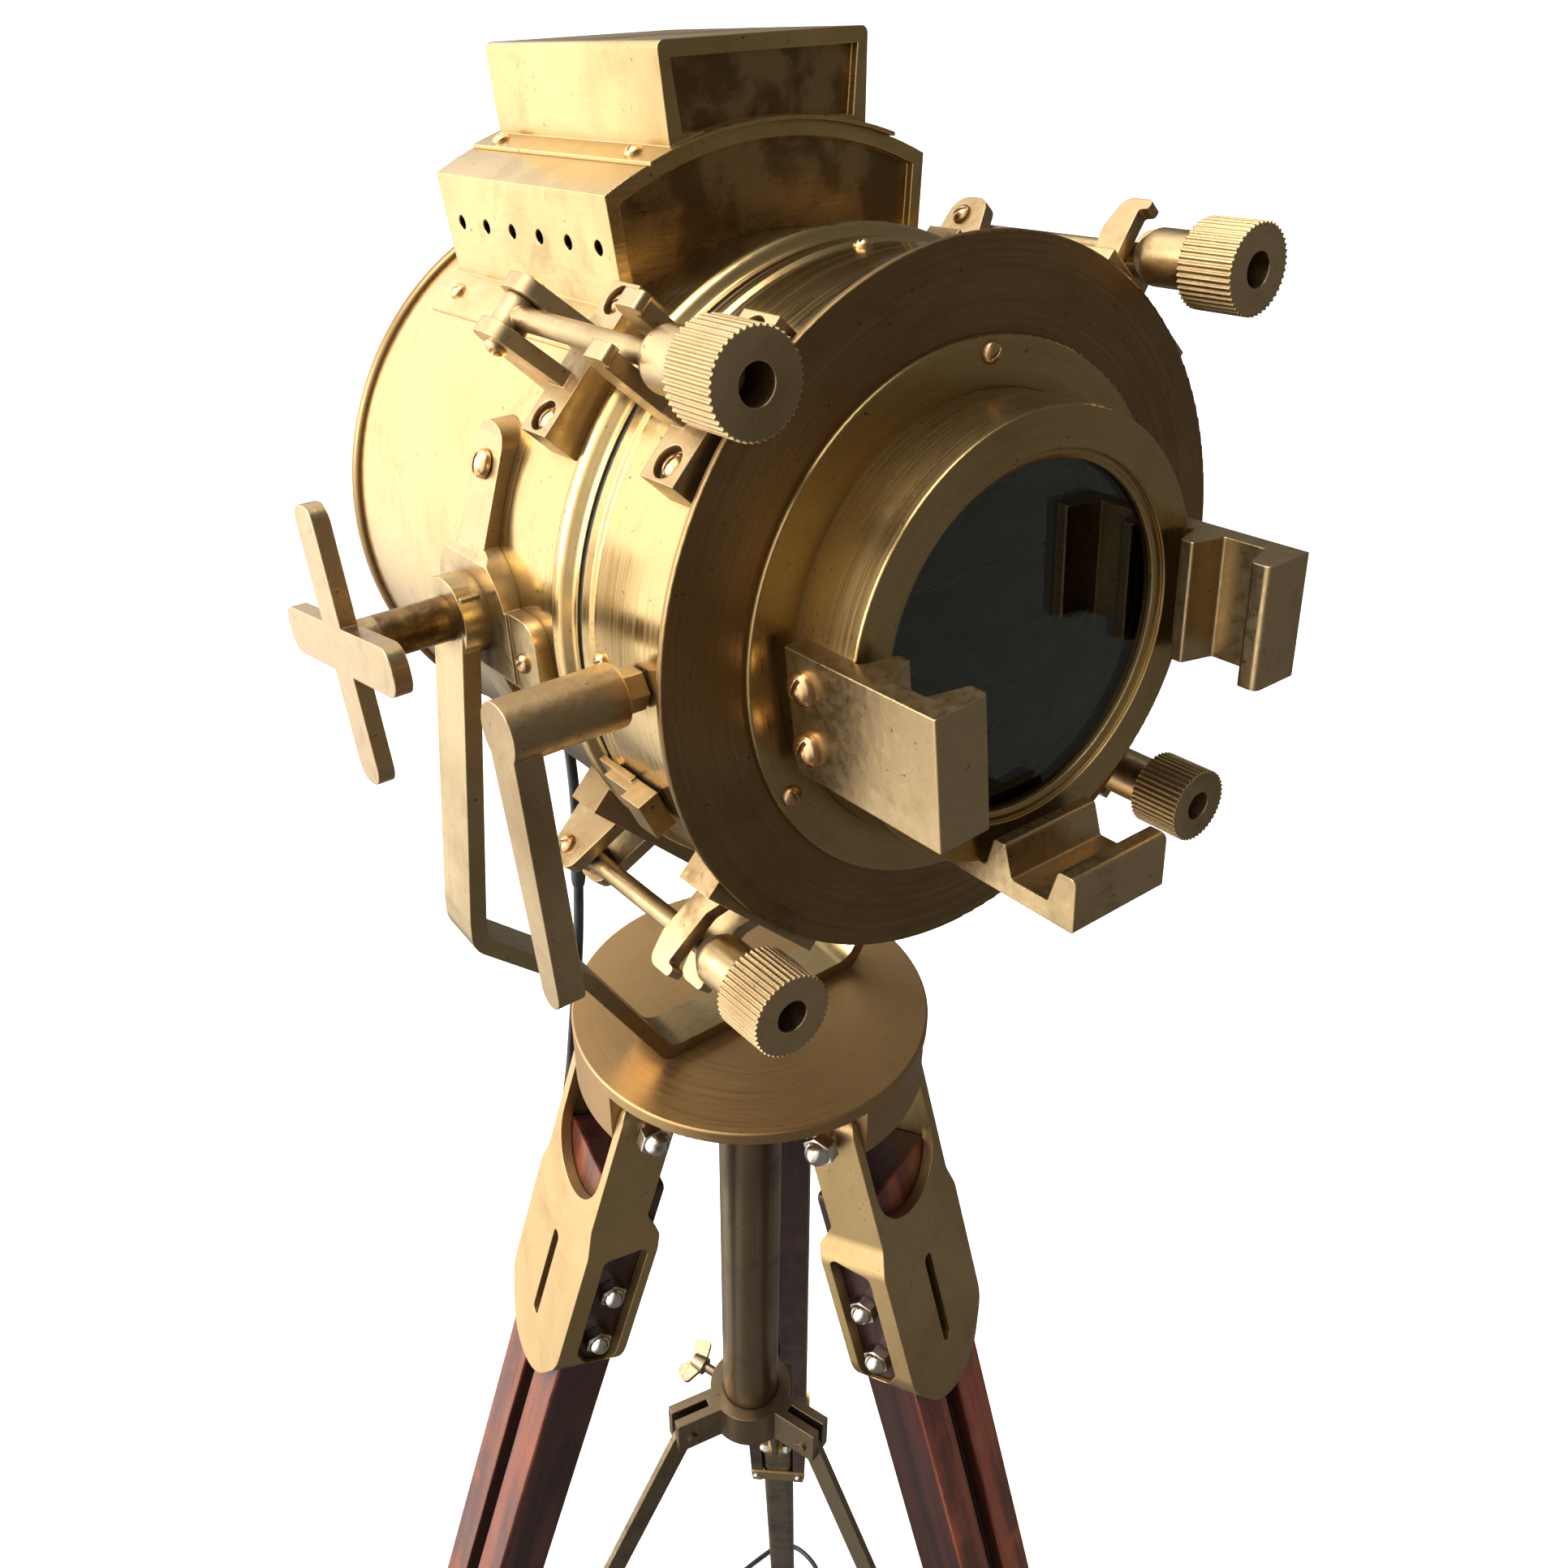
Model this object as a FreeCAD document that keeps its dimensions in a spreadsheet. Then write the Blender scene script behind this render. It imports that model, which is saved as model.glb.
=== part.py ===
import FreeCAD, Part
import math
import os
from FreeCAD import Placement, Rotation, Vector

# A nautical searchlight: a sheet-brass lamp head that tilts in a flat-bar yoke, on a folding
# wooden tripod. Millimetres. The origin is on the floor, on the centre column's axis; +Z is up
# and the lamp shines towards -Y.
#
# Three frames are used. The row frame is the floor's. The head frame (x, w, v) has its origin
# on the tilt axis: x to the right, w up and v forward along the light. A leg frame has its
# origin on the leg's hinge: x across the leg, y outward, z up along the leg.

os.makedirs("parts", exist_ok=True)
doc = FreeCAD.newDocument("searchlight")

# ---------------------------------------------------------------- driving dimensions
DIMENSIONS = {
    # tripod head
    "disc_top": 1600.0, "disc_rad": 88.0, "disc_thick": 7.0,
    "lug_width": 52.0, "lug_drop": 27.0, "lug_inner": 57.0,
    "column_rad": 16.9, "column_drop": 340.0,
    # legs
    "hinge_out": 68.0, "hinge_drop": 28.0, "leg_splay": 16.8, "leg_first": 49.0,
    "leg_width": 58.0, "leg_front": 8.0, "leg_back": 21.5, "groove_width": 13.0,
    "groove_depth": 9.0, "leg_end": 1045.0, "groove_end": 1000.0,
    "channel_start": 640.0, "lower_wide": 32.6, "lower_thick": 16.4, "lower_start": 930.0,
    "lower_end": 1616.0, "foot_rad": 16.0,
    "saddle_width": 72.0, "saddle_front": 14.0, "saddle_end": 186.0, "hinge_pin": 5.0,
    # spider and struts
    "spider_drop": 322.0, "spider_tall": 26.0, "spider_rad": 25.0, "strut_pivot_out": 43.0,
    "strut_width": 14.0, "strut_thick": 4.0,
    # yoke
    "tilt_height": 250.4, "bar_width": 22.4, "bar_thick": 6.9,
    "arm_top_out": 129.5, "arm_low_out": 143.2,
    # lamp head
    "head_tilt": 5.64, "drum_rad": 114.0, "drum_rear": -115.0, "drum_seam": 64.6,
    "sheet": 1.5, "ring_start": 68.0, "flange_rad": 121.5, "flange_at": 122.0,
    "retainer_rad": 91.8, "snout_rad": 75.6, "snout_front": 155.2, "glass_rad": 59.0,
    # chimney
    "box_half_low": 62.0, "box_half_high": 66.8, "box_rear": -95.0, "box_front": 28.0,
    "box_crown": 148.0, "stack_half_low": 39.8, "stack_half_high": 42.5, "stack_top": 174.0,
    "panel_deep": 3.2,
    # latches
    "latch_radius": 141.4, "bolt_rad": 3.8, "knob_rad": 14.8, "collar_rad": 9.6,
    # tilt lock
    "handle_at": 164.7, "handle_arm": 49.0, "handle_wide": 17.0, "shaft_rad": 8.0,
    # shutter
    "lever_v": 101.0, "lever_w": 3.6, "lever_length": 94.0, "lever_out": 162.0,
    "vane_pitch": 30.5, "vane_wide": 30.2,
    # filter holders
    "holder_out": 80.0, "holder_half": 21.5, "holder_front": 197.0,
    # cord
    "cord_rad": 3.0, "coil_mean": 33.1, "coil_half": 11.1, "coil_tall": 12.3,
}
sheet = doc.addObject("Spreadsheet::Sheet", "Sizes")
for row, (alias, value) in enumerate(DIMENSIONS.items(), start=1):
    sheet.set("A%d" % row, alias)
    sheet.set("B%d" % row, str(value))
    sheet.setAlias("B%d" % row, alias)
doc.recompute()


class Sizes:
    """The sheet's values, read by name."""

    def __getattr__(self, alias):
        return float(getattr(sheet, alias))


S = Sizes()
NODES = {}


# ---------------------------------------------------------------- helpers
def set_size(obj, prop, value):
    """Bind a property to a formula over the sheet's names, or set a plain number."""
    if isinstance(value, str):
        text = value
        for alias in sorted(DIMENSIONS, key=len, reverse=True):
            text = text.replace("$" + alias, "Sizes." + alias)
        obj.setExpression(prop, text)
    else:
        setattr(obj, prop, value)


def towards(direction):
    """The rotation that takes +Z to a direction."""
    return Rotation(Vector(0, 0, 1), Vector(*direction))


def cylinder(radius, height, at=(0, 0, 0), along=(0, 0, 1)):
    obj = doc.addObject("Part::Cylinder", "cylinder")
    set_size(obj, "Radius", radius)
    set_size(obj, "Height", height)
    obj.Placement = Placement(Vector(*at), towards(along))
    return obj


def cone(radius1, radius2, height, at=(0, 0, 0), along=(0, 0, 1)):
    obj = doc.addObject("Part::Cone", "cone")
    set_size(obj, "Radius1", radius1)
    set_size(obj, "Radius2", radius2)
    set_size(obj, "Height", height)
    obj.Placement = Placement(Vector(*at), towards(along))
    return obj


def ball(radius, at=(0, 0, 0)):
    obj = doc.addObject("Part::Sphere", "ball")
    set_size(obj, "Radius", radius)
    obj.Placement.Base = Vector(*at)
    return obj


def torus(radius1, radius2, at=(0, 0, 0), along=(0, 0, 1)):
    obj = doc.addObject("Part::Torus", "torus")
    set_size(obj, "Radius1", radius1)
    set_size(obj, "Radius2", radius2)
    obj.Placement = Placement(Vector(*at), towards(along))
    return obj


def block(length, width, height, centre=(0, 0, 0), turn=Rotation()):
    """A box given by its centre; each size may be a formula."""
    obj = doc.addObject("Part::Box", "block")
    set_size(obj, "Length", length)
    set_size(obj, "Width", width)
    set_size(obj, "Height", height)
    doc.recompute([obj])
    half = Vector(obj.Length.Value / 2, obj.Width.Value / 2, obj.Height.Value / 2)
    obj.Placement = Placement(Vector(*centre) - turn.multVec(half), turn)
    return obj


def fuse(*pieces):
    obj = doc.addObject("Part::MultiFuse", "fuse")
    obj.Shapes = list(pieces)
    obj.Refine = True
    return obj


def common(first, second):
    obj = doc.addObject("Part::MultiCommon", "common")
    obj.Shapes = [first, second]
    return obj


def cut(base, *tools):
    obj = doc.addObject("Part::Cut", "cut")
    obj.Base = base
    obj.Tool = tools[0] if len(tools) == 1 else fuse(*tools)
    return obj


def group(*pieces):
    obj = doc.addObject("Part::Compound", "group")
    obj.Links = list(pieces)
    return obj


def moved(piece, place):
    """Put a piece through one more placement."""
    piece.Placement = place.multiply(piece.Placement)
    return piece


def corners(points, radii):
    """A closed outline through points with rounded corners, as lines and arcs."""
    count = len(points)
    pts = [Vector(p[0], p[1], 0) for p in points]
    entries = []
    for i in range(count):
        here = pts[i]
        before = pts[i - 1]
        after = pts[(i + 1) % count]
        radius = radii[i] if isinstance(radii, (list, tuple)) else radii
        if radius <= 0:
            entries.append((here, here, None))
            continue
        back = (before - here).normalize()
        on = (after - here).normalize()
        half = math.acos(max(-1.0, min(1.0, back.dot(on)))) / 2
        reach = radius / math.tan(half)
        first = here + back * reach
        last = here + on * reach
        bisector = (back + on).normalize()
        middle = here + bisector * (radius / math.sin(half) - radius)
        entries.append((first, last, middle))
    edges = []
    for i in range(count):
        first, last, middle = entries[i]
        if middle is not None:
            edges.append(Part.Arc(first, middle, last))
        nxt = entries[(i + 1) % count][0]
        if (nxt - last).Length > 1e-6:
            edges.append(Part.LineSegment(last, nxt))
    return edges


PLANES = {"XY": "XY_Plane", "XZ": "XZ_Plane", "YZ": "YZ_Plane"}


def new_sketch(body, plane, edges):
    """A sketch on one of the body's own origin planes, its ends tied together."""
    sketch = body.newObject("Sketcher::SketchObject", body.Name + "_sketch")
    for feature in body.Origin.OriginFeatures:
        if feature.Role == PLANES[plane]:
            sketch.AttachmentSupport = [(feature, "")]
    sketch.MapMode = "FlatFace"
    sketch.addGeometry(edges, False)
    return sketch


def padded(edges, length, plane="XY", middle=False, name="pad", holes=()):
    """A profile with a thickness; holes are (x, y, radius) in the profile's plane."""
    body = doc.addObject("PartDesign::Body", name)
    sketch = new_sketch(body, plane, edges)
    for x, y, radius in holes:
        sketch.addGeometry(Part.Circle(Vector(x, y, 0), Vector(0, 0, 1), radius), False)
    pad = body.newObject("PartDesign::Pad", name + "_pad")
    pad.Profile = sketch
    set_size(pad, "Length", length)
    pad.Midplane = middle
    return body


def turned(points, name="turned", radii=0):
    """A solid of revolution about Z from an outline of (radius, height) points."""
    body = doc.addObject("PartDesign::Body", name)
    sketch = new_sketch(body, "XZ", corners(points, radii))
    spin = body.newObject("PartDesign::Revolution", name + "_turn")
    spin.Profile = sketch
    spin.ReferenceAxis = (sketch, ["V_Axis"])
    spin.Angle = 360
    return body


def tube(points, radius, name):
    """A round bar along straight runs joined by tangent arcs; prints its bend radii."""
    pts = [Vector(*p) for p in points]
    edges = []
    start = pts[0]
    for i in range(1, len(pts) - 1):
        back = (pts[i - 1] - pts[i])
        on = (pts[i + 1] - pts[i])
        shorter = min(back.Length, on.Length)
        back.normalize()
        on.normalize()
        turn = max(0.002, math.pi - math.acos(max(-1.0, min(1.0, back.dot(on)))))
        reach = 0.45 * shorter
        bend = reach / math.tan(turn / 2)
        print("%s bend %d: radius %.0f mm, turn %.0f deg" % (name, i, bend, math.degrees(turn)))
        first = pts[i] + back * reach
        last = pts[i] + on * reach
        middle = pts[i] + (back + on).normalize() * (bend / math.cos(turn / 2) - bend)
        edges.append(Part.LineSegment(start, first).toShape())
        edges.append(Part.Arc(first, middle, last).toShape())
        start = last
    edges.append(Part.LineSegment(start, pts[-1]).toShape())
    path = Part.Wire(edges)
    face_axis = pts[1] - pts[0]
    ring = Part.Wire([Part.Circle(pts[0], face_axis, radius).toShape()])
    solid = path.makePipeShell([ring], True, True)
    obj = doc.addObject("Part::Feature", name)
    obj.Shape = solid
    print("%s length %.0f mm, volume ratio %.4f"
          % (name, path.Length, solid.Volume / (math.pi * radius ** 2 * path.Length)))
    return obj


def node(label, piece, place=None):
    """Name a finished sub-part; the label names its file."""
    if place is not None:
        moved(piece, place)
    piece.Label = label
    NODES[label] = piece
    return piece


# ---------------------------------------------------------------- frames
def head_frame():
    """(x, w, v) to the row frame: v runs along the light."""
    centre = Vector(0, 0, S.disc_top + S.tilt_height)
    lean = Rotation(Vector(1, 0, 0), -S.head_tilt)
    stand = Rotation(Vector(1, 0, 0), 90)
    return Placement(centre, lean.multiply(stand))


def leg_frame(azimuth):
    """The hinge frame of the leg at an azimuth: x across, y outward, z up along the leg."""
    a = math.radians(azimuth)
    hinge = Vector(S.hinge_out * math.cos(a), S.hinge_out * math.sin(a), S.disc_top - S.hinge_drop)
    turn = Rotation(Vector(0, 0, 1), azimuth)
    splay = Rotation(Vector(0, 1, 0), -S.leg_splay)
    quarter = Rotation(Vector(0, 0, 1), -90)
    return Placement(hinge, turn.multiply(splay).multiply(quarter))


HEAD = head_frame()
LEG_NAMES = ("a", "b", "c")
AZIMUTHS = [S.leg_first + 120 * i for i in range(3)]
X_AXIS = (1, 0, 0)
Y_AXIS = (0, 1, 0)
DISC_LOW = S.disc_top - S.disc_thick


# ---------------------------------------------------------------- screws
def slotted_screw(radius, at, out, slot_turn=20.0, shank=3.0):
    """A round-head slotted screw; out is the way its head faces."""
    head = turned([(0, -shank), (radius * 0.45, -shank), (radius * 0.45, 0), (radius, 0),
                   (radius * 0.93, radius * 0.34), (radius * 0.62, radius * 0.62),
                   (radius * 0.25, radius * 0.74), (0, radius * 0.76)], "screw",
                  [0, 0, 0, 0, radius * 0.3, radius * 0.5, 0, 0])
    slot = block(radius * 3, radius * 0.26, radius * 0.5, (0, 0, radius * 0.72),
                 Rotation(Vector(0, 0, 1), slot_turn))
    return moved(cut(head, slot), Placement(Vector(*at), towards(out)))


def set_screws(places):
    """Screws at their places; a place is (head radius, seat, way out, slot turn, shank)."""
    return [slotted_screw(*place) for place in places]


def screw_holes(places):
    """The holes that those screws' shanks fill."""
    holes = []
    for radius, at, out, _, shank in places:
        way = Vector(*out).normalize()
        foot = Vector(*at) - way * (shank + 0.02)
        holes.append(cylinder(radius * 0.45 + 0.02, shank + 3, tuple(foot), tuple(way)))
    return holes


def acorn(radius, at, out):
    """A hexagon nut with a domed cap."""
    hexagon = [(radius * math.cos(math.radians(60 * k)), radius * math.sin(math.radians(60 * k)))
               for k in range(6)]
    nut = padded(corners(hexagon, 0), radius * 0.8, name="nut")
    dome = ball(radius * 0.78, (0, 0, radius * 0.8 - 0.3))
    return moved(fuse(nut, dome), Placement(Vector(*at), towards(out)))


# ---------------------------------------------------------------- tripod head
def tripod_head():
    disc = turned([(0, DISC_LOW), (S.disc_rad, DISC_LOW), (S.disc_rad, S.disc_top),
                   (0, S.disc_top)], "disc_blank", [0, 0.6, 1.0, 0])
    lugs = []
    for azimuth in AZIMUTHS:
        bar = block(S.disc_rad - S.lug_inner + 20, "$lug_width", "$lug_drop",
                    ((S.disc_rad + S.lug_inner + 20) / 2, 0, DISC_LOW - S.lug_drop / 2 + 0.5))
        moved(bar, Placement(Vector(), Rotation(Vector(0, 0, 1), azimuth)))
        lugs.append(bar)
    trim = cylinder("$disc_rad", "$lug_drop + 2", (0, 0, DISC_LOW - S.lug_drop))
    blocks = common(fuse(*lugs), trim)
    boss = cylinder("$column_rad + 6", 14, (0, 0, DISC_LOW - 14))
    body = fuse(disc, blocks, boss)
    drills = [cylinder(4.3, 30, (0, 0, DISC_LOW - 15)), cylinder(17.2, 11, (0, 0, DISC_LOW - 14.5))]
    for azimuth in AZIMUTHS:
        a = math.radians(azimuth)
        across = (-math.sin(a), math.cos(a), 0)
        start = Vector(S.hinge_out * math.cos(a), S.hinge_out * math.sin(a),
                       S.disc_top - S.hinge_drop) - Vector(*across) * 40
        drills.append(cylinder("$hinge_pin + 0.05", 80, tuple(start), across))
    node("head_disc", cut(body, *drills))


def column():
    top = DISC_LOW - 4
    tube_out = cylinder("$column_rad", "$column_drop", (0, 0, top - S.column_drop))
    bore = cylinder("$column_rad - 2", "$column_drop + 2", (0, 0, top - S.column_drop - 1))
    pipe = cut(tube_out, bore)
    cap = turned([(0, 0), (9, 0), (14.85, 4), (14.85, 14), (0, 14)], "cap", [0, 2, 0, 0, 0])
    rim = cylinder("$column_rad", 2.5, (0, 0, -2.5))
    knob = fuse(cap, cylinder(14.0, 5, (0, 0, -5)), rim)
    moved(knob, Placement(Vector(0, 0, top - S.column_drop), Rotation()))
    node("column", group(pipe, knob))
    shank = cylinder(4.0, S.disc_thick + 24, (0, 0, DISC_LOW - 16))
    nut = [(6.5 * math.cos(math.radians(60 * k)), 6.5 * math.sin(math.radians(60 * k)))
           for k in range(6)]
    nut_body = padded(corners(nut, 0), 6, name="pan_nut")
    nut_body.Placement.Base = Vector(0, 0, S.disc_top + S.bar_thick + 0.3)
    return fuse(shank, nut_body)


def tripod_bolts():
    """The pan bolt and the three leg hinge bolts with their acorn nuts."""
    pieces = [column()]
    for azimuth in AZIMUTHS:
        frame = leg_frame(azimuth)
        half = S.saddle_width / 2 + 0.4
        shank = cylinder("$hinge_pin", 2 * half + 2, (-half - 1, 0, 0), X_AXIS)
        ends = [acorn(8.0, (half, 0, 0), (1, 0, 0)), acorn(8.0, (-half, 0, 0), (-1, 0, 0))]
        pieces.append(moved(fuse(shank, *ends), frame))
    node("tripod_bolts", group(*pieces))


# ---------------------------------------------------------------- legs
CLAMP_LEVELS = (-112.0, -146.0)
STRUT_PIN_S = 872.0
STRUT_PIN_Y = -34.0
LOWER_Y = -13.1


def leg_wood(name, frame):
    """A two-rail mahogany leg: a groove down its outer face, a channel for the lower leg inside."""
    half = S.leg_width / 2
    outline = [(-half, -44), (-half, -S.leg_end), (half, -S.leg_end), (half, -44)]
    plank = padded(corners(outline, 3), S.leg_front + S.leg_back, "XZ", False, "plank")
    plank.Placement.Base = Vector(0, S.leg_front, 0)
    run = S.groove_end - 70
    slot = block("$groove_width", 2 * S.groove_depth, run, (0, S.leg_front, -70 - run / 2))
    upper = S.channel_start - 90
    inner = block("$groove_width", 12, upper, (0, -S.leg_back, -70 - upper / 2))
    channel = block("$lower_wide + 0.6", 2 * (S.lower_thick + 0.5), S.leg_end - S.channel_start + 20,
                    (0, -S.leg_back, -(S.leg_end + S.channel_start + 20) / 2))
    holes = [cylinder(3.1, 80, (-40, -8, z), X_AXIS) for z in CLAMP_LEVELS]
    node("leg_%s_wood" % name, cut(plank, slot, inner, channel, *holes), frame)


def leg_lower(name, frame):
    """The sliding lower leg: a round-edged bar in the channel, on a rubber foot."""
    half = S.lower_wide / 2
    deep = S.lower_thick / 2
    outline = corners([(-half, -deep), (half, -deep), (half, deep), (-half, deep)], deep - 0.2)
    bar = padded(outline, S.lower_end - S.lower_start, "XY", False, "lower_bar")
    bar.Placement.Base = Vector(0, LOWER_Y, -S.lower_end)
    moved(bar, frame)
    start = frame.multVec(Vector(0, LOWER_Y, -S.lower_end + 14))
    axis = frame.Rotation.multVec(Vector(0, 0, -1))
    sock = cylinder("$foot_rad", 120, tuple(start), tuple(axis))
    keep = block(400, 400, 400, (start.x, start.y, 200))
    pocket = block("$lower_wide + 0.02", "$lower_thick + 0.02", 60, (0, LOWER_Y, -S.lower_end + 30))
    moved(pocket, frame)
    foot = cut(common(sock, keep), pocket)
    node("leg_%s_lower" % name, group(bar, foot))


def leg_saddle():
    """A cast brass saddle: outer plate, two side cheeks, U cut-out, slot and windows."""
    half = S.saddle_width / 2
    ear = S.leg_width / 2 + 2.8
    front = S.saddle_front
    face = [(-ear, 12), (-ear, -66), (-half, -80), (-half, -158), (-16, -S.saddle_end),
            (16, -S.saddle_end), (half, -158), (half, -80), (ear, -66), (ear, 12)]
    plate = padded(corners(face, [10, 12, 14, 24, 30, 30, 24, 14, 12, 10]), 60, "XZ", False, "face")
    plate.Placement.Base = Vector(0, front, 0)
    # side view: upper cheek, then a deeper lower cheek with a rounded end
    side = [(front, 12), (front, -190), (2, -190), (-24, -172), (-24, -72), (-15, -60), (-15, 12)]
    cheek = padded(corners(side, [7, 0, 0, 10, 4, 4, 12]), 100, "YZ", True, "cheek")
    shell = common(plate, cheek)
    inner_top = block(2 * (ear - 5.4), 80, 200, (0, front - 46, 100 - 60))
    inner = block("$leg_width + 0.6", 60, 400, (0, S.leg_front - 30 + 0.3, -140))
    arch = cylinder(ear - 5.4, 80, (0, -40, -38), Y_AXIS)
    arch_top = block(2 * (ear - 5.4), 80, 80, (0, 0, 2))
    slot_cut = fuse(block(6.4, 40, 52, (0, 0, -126)), cylinder(3.2, 40, (0, -20, -100), Y_AXIS),
                    cylinder(3.2, 40, (0, -20, -152), Y_AXIS))
    window = padded(corners([(4, -84), (4, -150), (-6, -164), (-19, -164), (-19, -78)], 4), 100,
                    "YZ", True, "window")
    pin_hole = cylinder("$hinge_pin + 0.05", 100, (-50, 0, 0), X_AXIS)
    body = cut(shell, inner_top, inner, arch, arch_top, slot_cut, window, pin_hole)
    return body


def leg_clamps(name, frame):
    """Two clamp bolts with acorn nuts through the rails, and the strut pin."""
    pieces = []
    half = S.leg_width / 2
    for z in CLAMP_LEVELS:
        shank = cylinder(3.0, "$leg_width + 4", (-half - 2, -8, z), X_AXIS)
        ends = [acorn(7.2, (half + 0.1, -8, z), (1, 0, 0)),
                acorn(7.2, (-half - 0.1, -8, z), (-1, 0, 0))]
        pieces.append(fuse(shank, *ends))
    pin = cylinder(3.0, 16.4, (-8.2, STRUT_PIN_Y, -STRUT_PIN_S), X_AXIS)
    ends = [acorn(5.6, (side * 7.4, STRUT_PIN_Y, -STRUT_PIN_S), (side, 0, 0)) for side in (-1, 1)]
    pieces.append(fuse(pin, *ends))
    for side in (-1, 1):
        pieces.append(acorn(7.2, (side * (half + 3.4), -7, -STRUT_PIN_S), (side, 0, 0)))
    node("leg_%s_bolts" % name, group(*pieces, *set_screws(keeper_screws())), frame)


def leg_band():
    """A brass band round the leg with two ears on its inner side for the strut."""
    wide = S.leg_width
    deep = S.leg_front + S.leg_back
    middle = (S.leg_front - S.leg_back) / 2
    outer = block(wide + 6.4, deep + 6.4, 64, (0, middle, -STRUT_PIN_S + 4))
    ears = []
    for side in (-1, 1):
        ear = padded(corners([(-20, -12), (-20, 12), (STRUT_PIN_Y - 7, 8), (STRUT_PIN_Y - 7, -8)],
                             [0, 0, 6, 6]), 4.6, "YZ", False, "ear")
        ear.Placement.Base = Vector(-7.2 if side < 0 else 2.6, 0, -STRUT_PIN_S)
        ears.append(ear)
    inner = block(wide + 0.3, deep + 0.3, 80, (0, middle, -STRUT_PIN_S + 4))
    hole = cylinder(3.05, 30, (-15, STRUT_PIN_Y, -STRUT_PIN_S), X_AXIS)
    return cut(fuse(outer, *ears), inner, hole)


def leg_keeper():
    """A brass keeper across the channel's mouth, with a lip over the end of the leg."""
    plate = block(2 * 28, 2.4, 30, (0, -S.leg_back - 1.35, -S.leg_end + 16))
    lips = []
    for side in (-1, 1):
        lips.append(block(10, 22, 2.4, (side * 22.5, -S.leg_back + 8.5, -S.leg_end - 1.35)))
        lips.append(block(10, 2.4, 6, (side * 22.5, -S.leg_back - 1.35, -S.leg_end + 0.4)))
    return cut(fuse(plate, *lips), *screw_holes(keeper_screws()))


def keeper_screws():
    """The places of the keeper plate's two screws."""
    at = (-S.leg_back - 2.6, -S.leg_end + 16)
    return [(4.4, (side * 23, *at), (0, -1, 0), 40, 2.4) for side in (-1, 1)]


# ---------------------------------------------------------------- spider and struts
SPIDER_TOP = S.disc_top - S.spider_drop
STRUT_PIVOT_Z = SPIDER_TOP - 17.0


def strut_ends(azimuth):
    """The strut's upper pivot on the spider and its lower pin on the leg, in the row frame."""
    a = math.radians(azimuth)
    upper = Vector(S.strut_pivot_out * math.cos(a), S.strut_pivot_out * math.sin(a), STRUT_PIVOT_Z)
    lower = leg_frame(azimuth).multVec(Vector(0, STRUT_PIN_Y, -STRUT_PIN_S))
    return upper, lower


def spider():
    hub = cylinder("$spider_rad", "$spider_tall", (0, 0, SPIDER_TOP - S.spider_tall))
    arms = []
    cuts = [cylinder("$column_rad + 0.3", "$spider_tall + 2", (0, 0, SPIDER_TOP - S.spider_tall - 1))]
    for azimuth in AZIMUTHS:
        turn = Placement(Vector(), Rotation(Vector(0, 0, 1), azimuth))
        arm = block(32, 16, "$spider_tall", (36, 0, SPIDER_TOP - S.spider_tall / 2))
        arms.append(moved(arm, turn))
        slit = block(26, S.strut_thick + 0.8, 60, (42, 0, SPIDER_TOP - 14))
        cuts.append(moved(slit, turn))
        a = math.radians(azimuth)
        across = Vector(-math.sin(a), math.cos(a), 0)
        start = Vector(S.strut_pivot_out * math.cos(a), S.strut_pivot_out * math.sin(a),
                       STRUT_PIVOT_Z) - across * 20
        cuts.append(cylinder(2.05, 40, tuple(start), tuple(across)))
    thumb = math.radians(AZIMUTHS[0] + 60)
    cuts.append(cylinder(3.05, 30, (15 * math.cos(thumb), 15 * math.sin(thumb), SPIDER_TOP - 12),
                         (math.cos(thumb), math.sin(thumb), 0)))
    hub_body = cut(fuse(hub, *arms), *cuts)
    pins = []
    for azimuth in AZIMUTHS:
        a = math.radians(azimuth)
        across = Vector(-math.sin(a), math.cos(a), 0)
        start = Vector(S.strut_pivot_out * math.cos(a), S.strut_pivot_out * math.sin(a),
                       STRUT_PIVOT_Z) - across * 8
        shank = cylinder(2.0, 16, tuple(start), tuple(across))
        heads = []
        for side in (-1, 1):
            at = start + across * (8 + side * 8)
            heads.append(cylinder(3.6, 1.6, tuple(at), tuple(across * side)))
        pins.append(fuse(shank, *heads))
    node("spider", group(hub_body, *pins))


def thumb_screw():
    """The wing screw that grips the column, square to it between two arms."""
    a = math.radians(AZIMUTHS[0] + 60)
    out = Vector(math.cos(a), math.sin(a), 0)
    shank = cylinder(3.0, 19.0, (0, 0, 0))
    hub = cone(5.5, 4.2, 9, (0, 0, 17))
    wing = padded(corners([(-15, 22), (-11, 34), (0, 26), (11, 34), (15, 22), (0, 17)],
                          [3, 4, 3, 4, 3, 3]), 3.2, "XZ", True, "wing")
    place = Placement(out * 18.2 + Vector(0, 0, SPIDER_TOP - 12), towards(tuple(out)))
    node("thumb_screw", fuse(shank, hub, wing), place)


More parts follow.
